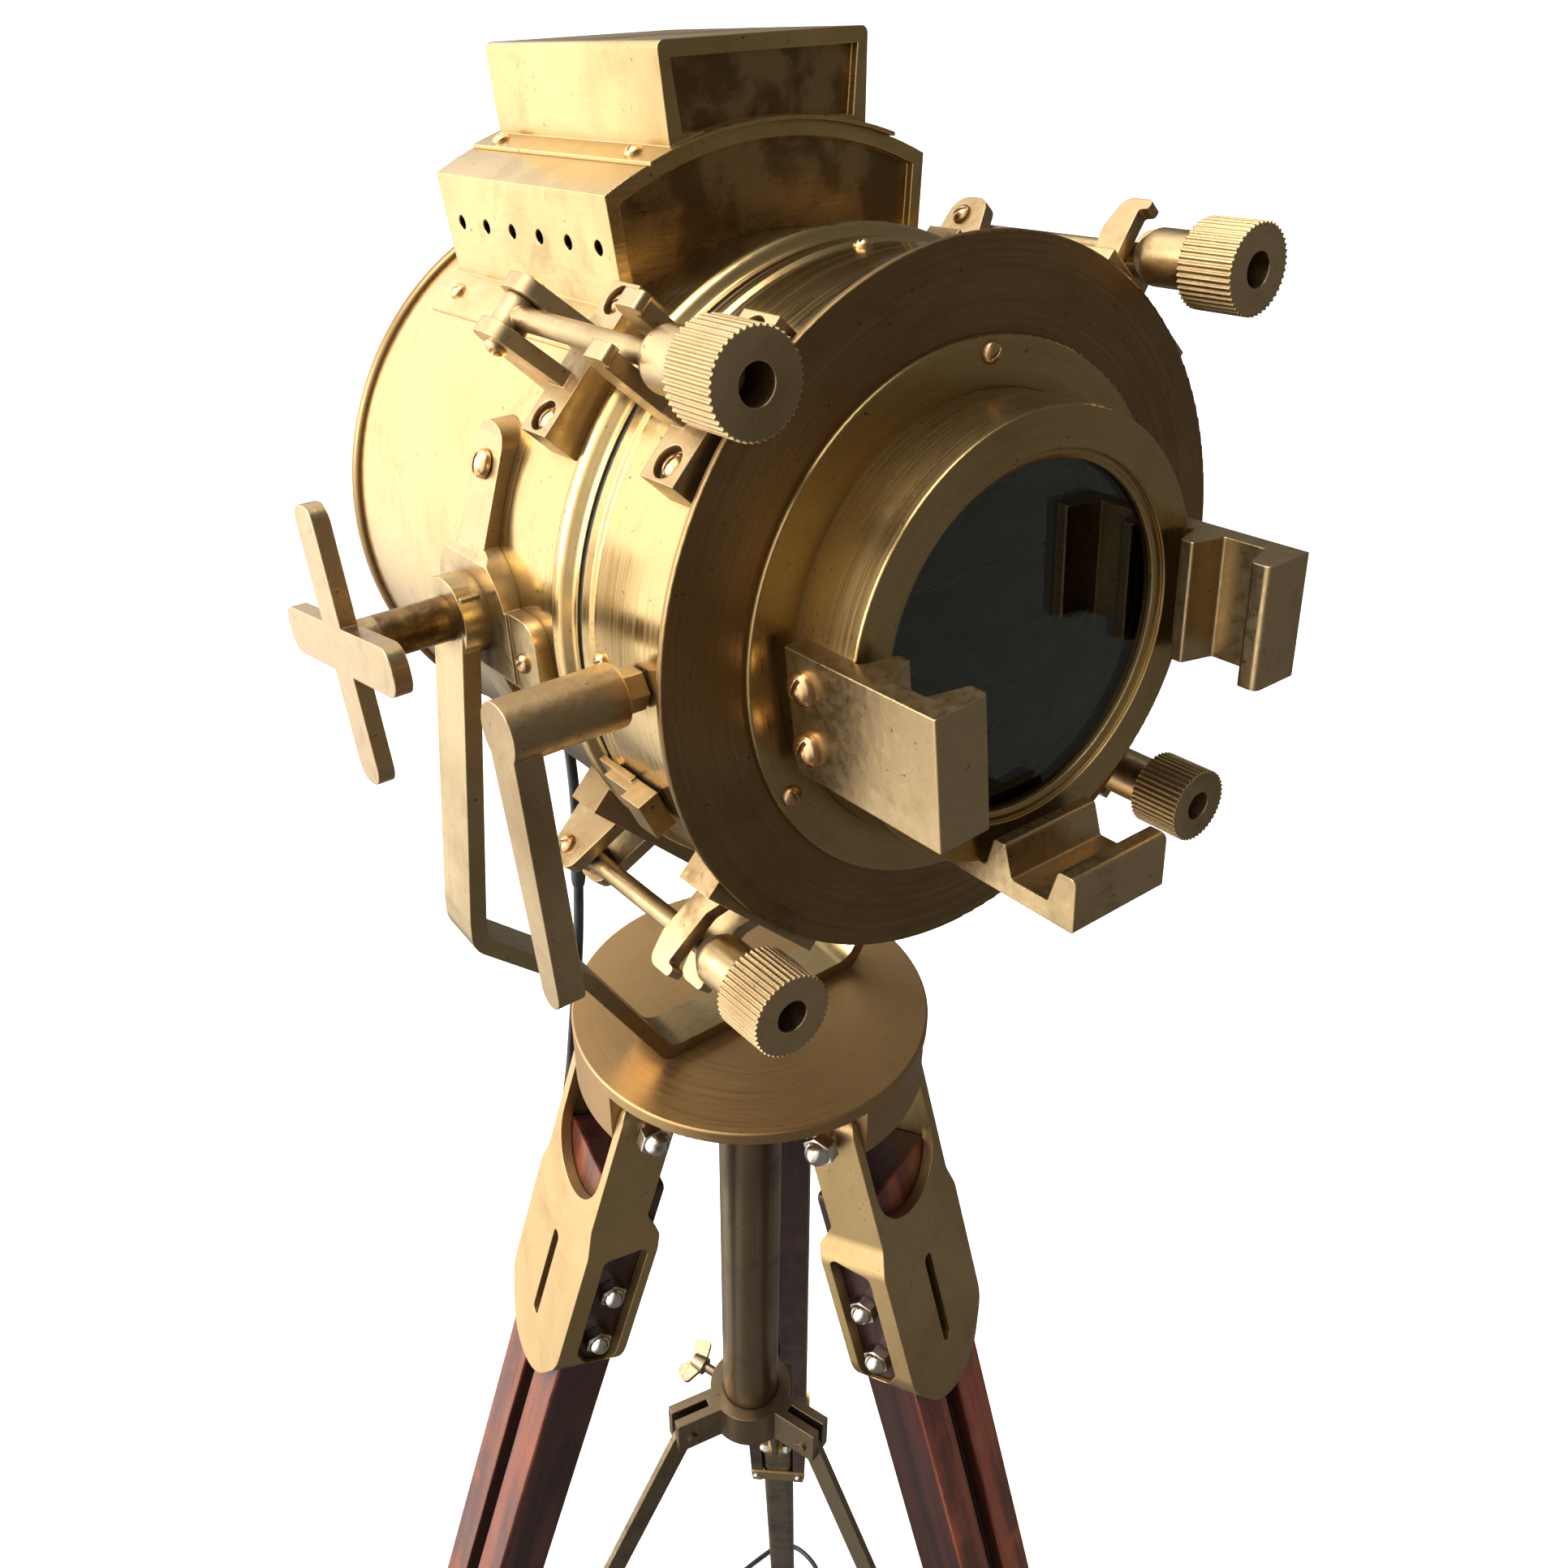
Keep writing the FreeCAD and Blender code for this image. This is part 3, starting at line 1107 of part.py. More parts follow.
def seam_clip():
    """A small bracket that bridges the seam low on the left, with one screw."""
    r = S.drum_rad
    plate = block(3.0, 17, 34, (-r - 1.6, 0, 66))
    lug = block(9, 15, 11, (-r - 4.5, 0, 90))
    clip = fuse(plate, lug, block(9, 15, 24, (-r - 1.8, 0, 82)))
    clip = cut(clip, cylinder(r + 4.7, 73, (0, 0, -10)), cylinder(r + 1.1, 140, (0, 0, 0)))
    turn = Placement(Vector(), Rotation(Vector(0, 0, 1), 23))
    return moved(clip, turn)


# ---------------------------------------------------------------- cord
# Corner points, chosen by hand. The upper cord runs from the gland to the splice sleeve; the
# lower cord hangs from the sleeve, and the floor cord lies over to the coil.
UPPER_CORD = [(-2, 108, 1759.3), (-2, 176, 1752.6), (-2, 168, 1684), (-2, 162, 1630),
              (-2, 166.6, 1586.2)]
LOWER_CORD = [(-2, 167.4, 1578.3), (-2, 173.2, 1522.6), (-2, 190, 1450), (-1, 208, 1374),
              (-11.7, 218.4, 1296), (-22.1, 228.4, 1219), (-32.3, 238, 1141),
              (-42.2, 247.2, 1064), (-52, 256.1, 986), (-61.5, 264.5, 909), (-70.8, 272.6, 831),
              (-79.8, 280.3, 754), (-88.6, 287.5, 676), (-97.2, 294.5, 599), (-105.6, 301, 521),
              (-113.7, 307.1, 444), (-121.6, 312.9, 366), (-129.3, 318.2, 289),
              (-136.8, 323.2, 211), (-140.4, 325.5, 172.5)]
FLOOR_CORD = [(-140.4, 325.5, 172.5), (-144, 327.8, 134), (-151, 332, 56), (-118, 338, 3.4),
              (-40, 346, 3.4), (40, 368, 3.4), (116, 396, 3.4), (190, 420, 3.4), (256, 434, 3.4),
              (318, 438, 3.4), (384, 436, 3.4), (396, 372, 3.4), (361, 333, 3.4),
              (339.1, 307.6, 3.4)]
SPLICE_AT = Vector(-2, 167, 1582.3)
SPLICE_ALONG = (0, 0.104, -0.9946)
COIL_AT = Vector(354.4, 262.3, 0)
PLUG_FROM = Vector(330.2, 229.0, 9.2)
PLUG_ALONG = (0.809, -0.588, 0.0)


def cord():
    node("cord_upper", tube(UPPER_CORD, S.cord_rad, "cord_upper"))
    node("cord_lower", tube(LOWER_CORD, S.cord_rad, "cord_lower"))
    node("cord_floor", tube(FLOOR_CORD, S.cord_rad, "cord_floor"))
    sleeve = turned([(3.05, -15), (3.7, -15), (4.3, -10), (4.3, 10), (3.7, 15), (3.05, 15)],
                    "sleeve", [0, 0.3, 1, 1, 0.3, 0])
    node("cord_sleeve", sleeve, Placement(SPLICE_AT, towards(SPLICE_ALONG)))
    # the coil's last turn leaves into the plug, which has its own space beside the ring
    inner = S.coil_mean - S.coil_half
    outer = S.coil_mean + S.coil_half
    ring = turned([(inner, 0.1), (outer, 0.1), (outer, S.coil_tall), (inner, S.coil_tall)],
                  "coil", 2.8)
    rise = Vector(PLUG_ALONG[0], PLUG_ALONG[1], 0.075)
    boot_space = cylinder(6.6, 23, tuple(PLUG_FROM - COIL_AT + rise * 3.5), tuple(rise))
    grip_space = cylinder(11.8, 40, tuple(PLUG_FROM - COIL_AT + rise * 25.5), tuple(rise))
    node("cord_coil", cut(ring, boot_space, grip_space), Placement(COIL_AT, Rotation()))
    # the plug: a tapered boot from the coil's last turn, a round grip and two pins
    boot = cone(3.6, 6.0, 24, (0, 0, 4))
    grip = turned([(0, 26), (7, 26), (11.4, 34), (11.4, 46), (10.4, 48), (11.4, 50), (11.4, 62),
                   (0, 62)], "grip", [0, 2, 4, 1, 1, 1, 1.5, 0])
    pins = [cylinder(2.0, 19, (x, 0, 61.5)) for x in (-6.5, 6.5)]
    plug = fuse(boot, grip, *pins)
    across = Vector(-PLUG_ALONG[1], PLUG_ALONG[0], 0)
    turn = Rotation(across, rise.cross(across), rise, "ZXY")
    node("plug", plug, Placement(PLUG_FROM, turn))


def build_all():
    tripod_head()
    tripod_bolts()
    for name, azimuth in zip(LEG_NAMES, AZIMUTHS):
        frame = leg_frame(azimuth)
        leg_wood(name, frame)
        node("leg_%s_saddle" % name, group(leg_saddle(), leg_band(), leg_keeper()), frame)
        leg_clamps(name, frame)
        leg_lower(name, frame)
    spider()
    thumb_screw()
    struts()
    yoke()
    drum()
    front_ring()
    snout()
    chimney_box()
    chimney_stack()
    tilt_lock()
    swing_bolts()
    shutter()
    optics()
    cord_gland()
    cord()
    places = retainer_screws() + front_screws() + box_screws() + stack_screws()
    places += trunnion_screws(-1) + trunnion_screws(1)
    node("head_screws", group(*set_screws(places), *clevises(), *filter_holders()), HEAD)


build_all()
doc.recompute()

# ---------------------------------------------------------------- checks and export
for obj in doc.Objects:
    for word in ("Invalid", "Error"):
        if word in obj.State:
            raise RuntimeError("%s (%s) is %s" % (obj.Name, obj.Label, word))
for label, obj in NODES.items():
    shape = obj.Shape
    if shape.isNull() or not shape.isValid():
        raise RuntimeError("bad shape: " + label)
    shape.exportStep(os.path.join("parts", label + ".step"))
    box = shape.BoundBox
    print("%-20s solids %2d volume %10.0f  x %.0f %.0f y %.0f %.0f z %.0f %.0f"
          % (label, len(shape.Solids), shape.Volume, box.XMin, box.XMax, box.YMin, box.YMax,
             box.ZMin, box.ZMax))
print(len(NODES), "nodes")
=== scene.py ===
"""Nautical searchlight floor lamp: materials, cords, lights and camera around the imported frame.

Metres, in the row frame: origin on the floor under the column, +Z up, the lamp shines towards -Y.
"""
import math

import bmesh
import bpy
from mathutils import Euler, Matrix, Vector


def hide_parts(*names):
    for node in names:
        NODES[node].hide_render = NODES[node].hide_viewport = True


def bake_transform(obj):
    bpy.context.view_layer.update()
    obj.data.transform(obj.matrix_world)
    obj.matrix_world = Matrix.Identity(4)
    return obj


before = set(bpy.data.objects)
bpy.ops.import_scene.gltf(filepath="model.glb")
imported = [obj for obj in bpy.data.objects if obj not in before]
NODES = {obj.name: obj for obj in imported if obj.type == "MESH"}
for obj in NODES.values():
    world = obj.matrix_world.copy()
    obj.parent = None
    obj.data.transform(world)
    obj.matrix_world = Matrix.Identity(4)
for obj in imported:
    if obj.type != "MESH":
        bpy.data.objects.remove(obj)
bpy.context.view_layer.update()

# ---------------------------------------------------------------- sizes
HEAD_CENTRE = Vector((0, 0, 1.8504))
HEAD_TILT = math.radians(5.64)
CHIMNEY_FRONT = 0.028
CHIMNEY_REAR = -0.095
LEG_HINGE_OUT = 0.068
LEG_HINGE_Z = 1.572
LEG_SPLAY = math.radians(16.8)
LEG_TURN = {"a": math.radians(49), "b": math.radians(169), "c": math.radians(289)}
LEG_FRONT = 0.008
GROOVE_HALF = 0.0065
FOOT_TOP = 0.041

# ---------------------------------------------------------------- camera
EYE = Vector((-0.3056, -0.4207, 2.078))
HEADING = math.radians(37.667)
LOOK_DOWN = math.radians(33.89)
ROLL = math.radians(0.871)
LENS = 32.31


def add_camera():
    ahead = Vector((math.sin(HEADING) * math.cos(LOOK_DOWN),
                    math.cos(HEADING) * math.cos(LOOK_DOWN), -math.sin(LOOK_DOWN)))
    right = ahead.cross(Vector((0, 0, 1))).normalized()
    up = right.cross(ahead)
    side = right * math.cos(ROLL) + up * math.sin(ROLL)
    top = up * math.cos(ROLL) - right * math.sin(ROLL)
    data = bpy.data.cameras.new("camera")
    data.lens = LENS
    data.sensor_width = 36.0
    data.clip_start, data.clip_end = 0.01, 100.0
    camera = bpy.data.objects.new("camera", data)
    camera.matrix_world = Matrix.Translation(EYE) @ Matrix(
        (side, top, -ahead)).transposed().to_4x4()
    bpy.context.scene.collection.objects.link(camera)
    bpy.context.scene.camera = camera


# ---------------------------------------------------------------- cords
CORD_RADIUS = 0.003
# The routes follow part.py's. The lower one's hanging stretch, from z 1.374 down to 0.056, was
# worked out by a formula as evenly spaced points on a slight curve, not chosen by hand.
UPPER_ROUTE = [(-0.002, 0.1341, 1.7568), (-0.002, 0.176, 1.7526), (-0.002, 0.168, 1.684),
               (-0.002, 0.162, 1.630), (-0.002, 0.1666, 1.5862)]
LOWER_ROUTE = [(-0.002, 0.1674, 1.5783), (-0.002, 0.1732, 1.5226), (-0.002, 0.190, 1.450),
               (-0.001, 0.208, 1.374), (-0.0117, 0.2184, 1.296), (-0.0221, 0.2284, 1.219),
               (-0.0323, 0.238, 1.141), (-0.0422, 0.2472, 1.064), (-0.052, 0.2561, 0.986),
               (-0.0615, 0.2645, 0.909), (-0.0708, 0.2726, 0.831), (-0.0798, 0.2803, 0.754),
               (-0.0886, 0.2875, 0.676), (-0.0972, 0.2945, 0.599), (-0.1056, 0.301, 0.521),
               (-0.1137, 0.3071, 0.444), (-0.1216, 0.3129, 0.366), (-0.1293, 0.3182, 0.289),
               (-0.1368, 0.3232, 0.211), (-0.144, 0.3278, 0.134), (-0.151, 0.332, 0.056),
               (-0.118, 0.338, 0.0034), (-0.040, 0.346, 0.0034), (0.040, 0.368, 0.0034),
               (0.116, 0.396, 0.0034), (0.190, 0.420, 0.0034), (0.256, 0.434, 0.0034),
               (0.318, 0.438, 0.0034), (0.384, 0.436, 0.0034), (0.396, 0.372, 0.0034),
               (0.361, 0.333, 0.0034), (0.3391, 0.3076, 0.0034)]
COIL_CENTRE = (0.3544, 0.2623)
COIL_WIDE, COIL_TIGHT = 0.0412, 0.0250
COIL_START, COIL_SWEEP, COIL_CLIMB = 138.7, 1895.0, 100.0
COIL_LOW, COIL_HIGH = 0.0034, 0.0094
COIL_STEP = 25.0


def coil_points():
    """The put-away length: a flat layer wound inwards, then one wound outwards on top of it."""
    layer = (COIL_SWEEP - COIL_CLIMB) / 2
    points = []
    count = round(COIL_SWEEP / COIL_STEP)
    for i in range(count + 1):
        swept = COIL_SWEEP * i / count
        if swept < layer:
            radius, z = COIL_WIDE + (COIL_TIGHT - COIL_WIDE) * swept / layer, COIL_LOW
        elif swept < layer + COIL_CLIMB:
            rise = (swept - layer) / COIL_CLIMB
            radius, z = COIL_TIGHT, COIL_LOW + (COIL_HIGH - COIL_LOW) * rise
        else:
            out = (swept - layer - COIL_CLIMB) / layer
            radius, z = COIL_TIGHT + (COIL_WIDE - COIL_TIGHT) * out, COIL_HIGH
        a = math.radians(COIL_START + swept)
        points.append((COIL_CENTRE[0] + radius * math.cos(a),
                       COIL_CENTRE[1] + radius * math.sin(a), z))
    return points


def smooth_line(name, route):
    """The route's NURBS spline, as the points of its evaluated line."""
    data = bpy.data.curves.new(name + "_line", "CURVE")
    data.dimensions = "3D"
    data.resolution_u = 8
    spline = data.splines.new("NURBS")
    spline.points.add(len(route) - 1)
    for point, co in zip(spline.points, route):
        point.co = (*co, 1)
    spline.order_u = 3
    spline.use_endpoint_u = True
    holder = bpy.data.objects.new(name + "_line", data)
    bpy.context.scene.collection.objects.link(holder)
    mesh = bpy.data.meshes.new_from_object(holder)
    line = [v.co.copy() for v in mesh.vertices]
    bpy.data.objects.remove(holder)
    bpy.data.meshes.remove(mesh)
    bpy.data.curves.remove(data)
    return line


def tube_along(name, line, radius, sides=14):
    """A closed round tube along a line, its rings carried along without twisting."""
    mesh = bmesh.new()
    ring_before = None
    normal = None
    for i, at in enumerate(line):
        ahead = (line[min(i + 1, len(line) - 1)] - line[max(i - 1, 0)]).normalized()
        if normal is None:
            normal = ahead.orthogonal().normalized()
        normal = (normal - ahead * normal.dot(ahead)).normalized()
        across = ahead.cross(normal)
        ring = []
        for k in range(sides):
            a = 2 * math.pi * k / sides
            ring.append(mesh.verts.new(at + (normal * math.cos(a) + across * math.sin(a)) * radius))
        if ring_before:
            for k in range(sides):
                j = (k + 1) % sides
                mesh.faces.new((ring_before[k], ring_before[j], ring[j], ring[k]))
        else:
            mesh.faces.new(list(reversed(ring)))
        ring_before = ring
    mesh.faces.new(ring_before)
    data = bpy.data.meshes.new(name)
    mesh.to_mesh(data)
    mesh.free()
    for face in data.polygons:
        face.use_smooth = len(face.vertices) == 4
    piece = bpy.data.objects.new(name, data)
    bpy.context.scene.collection.objects.link(piece)
    return piece


def add_cords():
    upper_line = smooth_line("flex_upper", UPPER_ROUTE)
    upper = tube_along("flex_upper", upper_line, CORD_RADIUS)
    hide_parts("cord_upper")
    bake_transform(upper)

    lower_line = smooth_line("flex_lower", LOWER_ROUTE + coil_points())
    lower = tube_along("flex_lower", lower_line, CORD_RADIUS)
    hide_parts("cord_lower", "cord_floor", "cord_coil")
    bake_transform(lower)
    return [upper, lower]


# ---------------------------------------------------------------- material kit
HEAD_FRAME = Matrix.Translation(HEAD_CENTRE) @ Matrix.Rotation(-HEAD_TILT, 4, "X") \
    @ Matrix.Rotation(math.pi / 2, 4, "X")


def leg_frame(name):
    turn = LEG_TURN[name]
    hinge = Vector((LEG_HINGE_OUT * math.cos(turn), LEG_HINGE_OUT * math.sin(turn), LEG_HINGE_Z))
    return Matrix.Translation(hinge) @ Matrix.Rotation(turn, 4, "Z") \
        @ Matrix.Rotation(-LEG_SPLAY, 4, "Y") @ Matrix.Rotation(-math.pi / 2, 4, "Z")


class Finish:
    """One procedural material, built node by node on Object coordinates."""

    def __init__(self, name):
        self.material = bpy.data.materials.new(name)
        self.material.use_nodes = True
        self.tree = self.material.node_tree
        self.shader = self.tree.nodes["Principled BSDF"]

    def put(self, socket, value):
        if isinstance(value, bpy.types.NodeSocket):
            self.tree.links.new(value, socket)
        else:
            socket.default_value = value

    def set(self, **values):
        for name, value in values.items():
            self.put(self.shader.inputs[name.replace("_", " ")], value)

    def place(self, where=None):
        """Object coordinates, or the same point in a frame of its own."""
        coords = self.tree.nodes.new("ShaderNodeTexCoord").outputs["Object"]
        if where is None:
            return coords
        mapping = self.tree.nodes.new("ShaderNodeMapping")
        mapping.vector_type = "TEXTURE"
        mapping.inputs["Location"].default_value = where.to_translation()
        mapping.inputs["Rotation"].default_value = where.to_euler()
        self.put(mapping.inputs["Vector"], coords)
        return mapping.outputs["Vector"]

    def stretch(self, vector, scale):
        mapping = self.tree.nodes.new("ShaderNodeMapping")
        mapping.inputs["Scale"].default_value = scale
        self.put(mapping.inputs["Vector"], vector)
        return mapping.outputs["Vector"]

    def split(self, vector):
        node = self.tree.nodes.new("ShaderNodeSeparateXYZ")
        self.put(node.inputs["Vector"], vector)
        return node.outputs["X"], node.outputs["Y"], node.outputs["Z"]

    def join(self, x, y, z):
        node = self.tree.nodes.new("ShaderNodeCombineXYZ")
        for socket, value in zip(node.inputs, (x, y, z)):
            self.put(socket, value)
        return node.outputs["Vector"]

    def math(self, operation, a, b=0.0):
        node = self.tree.nodes.new("ShaderNodeMath")
        node.operation = operation
        self.put(node.inputs[0], a)
        self.put(node.inputs[1], b)
        return node.outputs["Value"]

    def noise(self, vector, scale, detail=4.0, roughness=0.55, distortion=0.0):
        node = self.tree.nodes.new("ShaderNodeTexNoise")
        self.put(node.inputs["Vector"], vector)
        node.inputs["Scale"].default_value = scale
        node.inputs["Detail"].default_value = detail
        node.inputs["Roughness"].default_value = roughness
        node.inputs["Distortion"].default_value = distortion
        return node.outputs["Fac"]

    def remap(self, value, low, high, to_low=0.0, to_high=1.0, smooth=True):
        node = self.tree.nodes.new("ShaderNodeMapRange")
        node.interpolation_type = "SMOOTHSTEP" if smooth else "LINEAR"
        self.put(node.inputs["Value"], value)
        for socket, number in zip(("From Min", "From Max", "To Min", "To Max"),
                                  (low, high, to_low, to_high)):
            self.put(node.inputs[socket], number)
        return node.outputs["Result"]

    def mix(self, factor, a, b, blend="MIX"):
        node = self.tree.nodes.new("ShaderNodeMix")
        node.data_type = "RGBA"
        node.blend_type = blend
        self.put(node.inputs["Factor"], factor)
        for socket, value in zip((node.inputs[6], node.inputs[7]), (a, b)):
            self.put(socket, (*value, 1.0) if isinstance(value, tuple) else value)
        return node.outputs[2]

    def lathe(self, where, around=6.0, lines=700.0):
        """Coordinates whose noise runs in rings about a frame's z axis."""
        x, y, z = self.split(self.place(where))
        radius = self.math("SQRT", self.math("ADD", self.math("MULTIPLY", x, x),
                                             self.math("MULTIPLY", y, y)))
        angle = self.math("ARCTAN2", y, x)
        return self.join(self.math("MULTIPLY", angle, around * 0.16),
                         self.math("MULTIPLY", radius, lines), self.math("MULTIPLY", z, lines))

    def hollows(self, distance):
        """1 in open places, falling to 0 in corners and under overlaps."""
        node = self.tree.nodes.new("ShaderNodeAmbientOcclusion")
        node.samples = 6
        node.inputs["Distance"].default_value = distance
        return node.outputs["AO"]

    def edges(self, radius):
        """0 on flats, rising to 1 on sharp edges; and the rounded normal itself."""
        bevel = self.tree.nodes.new("ShaderNodeBevel")
        bevel.samples = 4
        bevel.inputs["Radius"].default_value = radius
        geometry = self.tree.nodes.new("ShaderNodeNewGeometry")
        dot = self.tree.nodes.new("ShaderNodeVectorMath")
        dot.operation = "DOT_PRODUCT"
        self.put(dot.inputs[0], bevel.outputs["Normal"])
        self.put(dot.inputs[1], geometry.outputs["Normal"])
        return self.remap(dot.outputs["Value"], 0.995, 0.80), bevel.outputs["Normal"]

    def bump(self, height, distance, normal=None, strength=1.0):
        node = self.tree.nodes.new("ShaderNodeBump")
        node.inputs["Strength"].default_value = strength
        node.inputs["Distance"].default_value = distance
        self.put(node.inputs["Height"], height)
        if normal is not None:
            self.put(node.inputs["Normal"], normal)
        return node.outputs["Normal"]


def brass(name, polished, tarnish, lines, gloss=0.30, age=0.5, brushed=0.35, grain=0.00003,
          corner=0.010, brown_tone_and_painted_dark=None):
    """Antique brass. lines gives the brushing's coordinates for the Finish it is called with; the
    last argument gives a mask of where it is darker brown: the handle's shaft in its own tone, and
    the chimney's sunk panels as painted dark reflection."""
    f = Finish(name)
    here = f.place()
    brushing = f.noise(lines(f), 1.0, 3.0, 0.6)
    clouds = f.noise(here, 9.0, 6.0, 0.62, 0.4)
    blotches = f.noise(here, 55.0, 5.0, 0.6, 0.3)
    specks = f.noise(here, 420.0, 3.0, 0.6)
    patina = f.math("ADD", f.remap(clouds, 0.42, 0.68, 0.0, age),
                    f.remap(blotches, 0.52, 0.74, 0.0, age * 0.7))
    dirt = f.remap(f.hollows(corner), 0.35, 0.95, 0.85, 0.0)
    patina = f.math("MAXIMUM", patina, dirt)
    edge, rounded = f.edges(0.0007)
    patina = f.math("SUBTRACT", patina, f.math("MULTIPLY", edge, 0.55))
    colour = f.mix(f.remap(patina, 0.0, 1.0, smooth=False), polished, tarnish)
    colour = f.mix(f.remap(brushing, 0.30, 0.70, brushed, 0.0), colour, tarnish)
    # darker brown where the mask says: the handle's shaft in its own tone, and painted dark
    # reflection on the chimney's sunk panels
    if brown_tone_and_painted_dark:
        colour = f.mix(brown_tone_and_painted_dark(f), colour, f.mix(f.remap(blotches, 0.40, 0.60), BROWN, BROWN_DARK))
    dark = tuple(c * 0.35 for c in tarnish)
    colour = f.mix(f.remap(specks, 0.66, 0.74, 0.0, 0.75), colour, dark)
    # edges lightened past the polished colour: worn bright, and a painted highlight along them
    bright = tuple(min(1.0, c * 1.35) for c in polished)
    colour = f.mix(f.math("MULTIPLY", edge, 0.6), colour, bright)
    rough = f.math("ADD", f.remap(patina, 0.0, 1.0, gloss, gloss + 0.24),
                   f.remap(brushing, 0.3, 0.7, 0.07, -0.03))
    height = f.math("ADD", f.math("MULTIPLY", brushing, 0.6), f.math("MULTIPLY", blotches, 1.6))
    f.set(Base_Color=colour, Roughness=rough, Metallic=1.0,
          Normal=f.bump(height, grain, rounded))
    return f.material


def beyond(where, axis, start, end):
    """A mask that rises from start to end along one axis of a frame."""
    return lambda f: f.remap(f.split(f.place(where))[axis], start, end)


def panels_painted_dark(f):
    """A mask of the chimney's recessed front and rear panels, where dark brown is painted in as the
    dark reflection they show.
    """
    facing = f.tree.nodes.new("ShaderNodeVectorMath")
    facing.operation = "DOT_PRODUCT"
    f.put(facing.inputs[0], f.tree.nodes.new("ShaderNodeTexCoord").outputs["Normal"])
    facing.inputs[1].default_value = HEAD_FRAME.to_3x3() @ Vector((0, 0, 1))
    v = f.split(f.place(HEAD_FRAME))[2]
    inner = f.math("MULTIPLY", f.remap(v, CHIMNEY_FRONT - 0.0020, CHIMNEY_FRONT - 0.0028),
                   f.remap(v, CHIMNEY_REAR + 0.0020, CHIMNEY_REAR + 0.0028))
    return f.math("MULTIPLY", inner,
                  f.remap(f.math("ABSOLUTE", facing.outputs["Value"]), 0.90, 0.96, 0.0, 0.86))


def along(where, scale):
    """Straight brushing or grain in a frame, short along the axes with a large scale."""
    return lambda f: f.stretch(f.place(where), scale)


def rings(where, around=6.0, spacing=700.0):
    return lambda f: f.lathe(where, around, spacing)


GOLD = (0.640, 0.465, 0.215)
GOLD_DARK = (0.230, 0.150, 0.055)
CAST = (0.560, 0.415, 0.225)
CAST_DARK = (0.190, 0.125, 0.060)
BROWN = (0.315, 0.200, 0.090)
BROWN_DARK = (0.120, 0.068, 0.026)
COPPER_TAN = (0.480, 0.310, 0.145)
COPPER_DARK = (0.300, 0.180, 0.075)
OLIVE = (0.350, 0.265, 0.165)
OLIVE_DARK = (0.150, 0.105, 0.060)
SCREW = (0.68, 0.45, 0.23)
SCREW_DARK = (0.24, 0.13, 0.055)


def plain_metal(name, colour, shade, gloss):
    """Polished plating with faint swirls and dull spots."""
    f = Finish(name)
    here = f.place()
    dull = f.noise(here, 160.0, 4.0, 0.6, 0.5)
    fine = f.noise(here, 1600.0, 2.0)
    _, rounded = f.edges(0.0004)
    tint = f.mix(f.remap(dull, 0.45, 0.75), colour, shade)
    tint = f.mix(f.remap(f.hollows(0.005), 0.4, 0.95, 0.8, 0.0), tint, shade)
    f.set(Base_Color=tint, Metallic=1.0,
          Roughness=f.remap(dull, 0.35, 0.75, gloss, gloss + 0.18),
          Normal=f.bump(fine, 0.00001, rounded))
    return f.material


def mahogany(name, where):
    """Varnished mahogany: red-brown rails, near-black grooves and dark brown sides."""
    f = Finish(name)
    local = f.place(where)
    x, y, _ = f.split(local)
    grain = f.noise(f.stretch(local, (1.0, 1.0, 0.035)), 210.0, 6.0, 0.62, 0.6)
    figure = f.noise(f.stretch(local, (1.0, 1.0, 0.09)), 42.0, 5.0, 0.55, 1.6)
    pores = f.noise(f.stretch(local, (1.0, 1.0, 0.018)), 900.0, 2.0, 0.5)
    wear = f.noise(f.place(), 26.0, 5.0, 0.6)
    rail = f.mix(f.remap(figure, 0.36, 0.66), (0.046, 0.009, 0.004), (0.140, 0.026, 0.008))
    rail = f.mix(f.remap(wear, 0.50, 0.72, 0.0, 0.50), rail, (0.270, 0.062, 0.012))
    side = f.mix(f.remap(figure, 0.36, 0.68), (0.013, 0.004, 0.003), (0.036, 0.008, 0.006))
    front = f.remap(y, LEG_FRONT - 0.0022, LEG_FRONT - 0.0006)
    colour = f.mix(front, side, rail)
    between = f.remap(f.math("ABSOLUTE", x), GROOVE_HALF + 0.0004, GROOVE_HALF - 0.0004)
    inside = f.math("MULTIPLY", between, f.remap(y, LEG_FRONT - 0.0004, LEG_FRONT - 0.0020))
    colour = f.mix(inside, colour, (0.020, 0.007, 0.005))
    colour = f.mix(f.remap(grain, 0.50, 0.72, 0.0, 0.62), colour, (0.030, 0.008, 0.006))
    colour = f.mix(f.remap(pores, 0.62, 0.74, 0.0, 0.7), colour, (0.012, 0.004, 0.003))
    edge, rounded = f.edges(0.0012)
    worn = f.math("MULTIPLY", edge, f.remap(wear, 0.40, 0.62))
    colour = f.mix(worn, colour, (0.26, 0.060, 0.018))
    colour = f.mix(f.remap(f.hollows(0.012), 0.35, 0.95, 0.8, 0.0), colour, (0.010, 0.004, 0.003))
    height = f.math("SUBTRACT", f.math("MULTIPLY", grain, 0.4), f.remap(pores, 0.60, 0.75))
    f.set(Base_Color=colour, Roughness=f.remap(wear, 0.35, 0.70, 0.28, 0.46),
          Specular_IOR_Level=0.32, Coat_Weight=0.12, Coat_Roughness=0.20,
          Normal=f.bump(height, 0.00012, rounded))
    return f.material


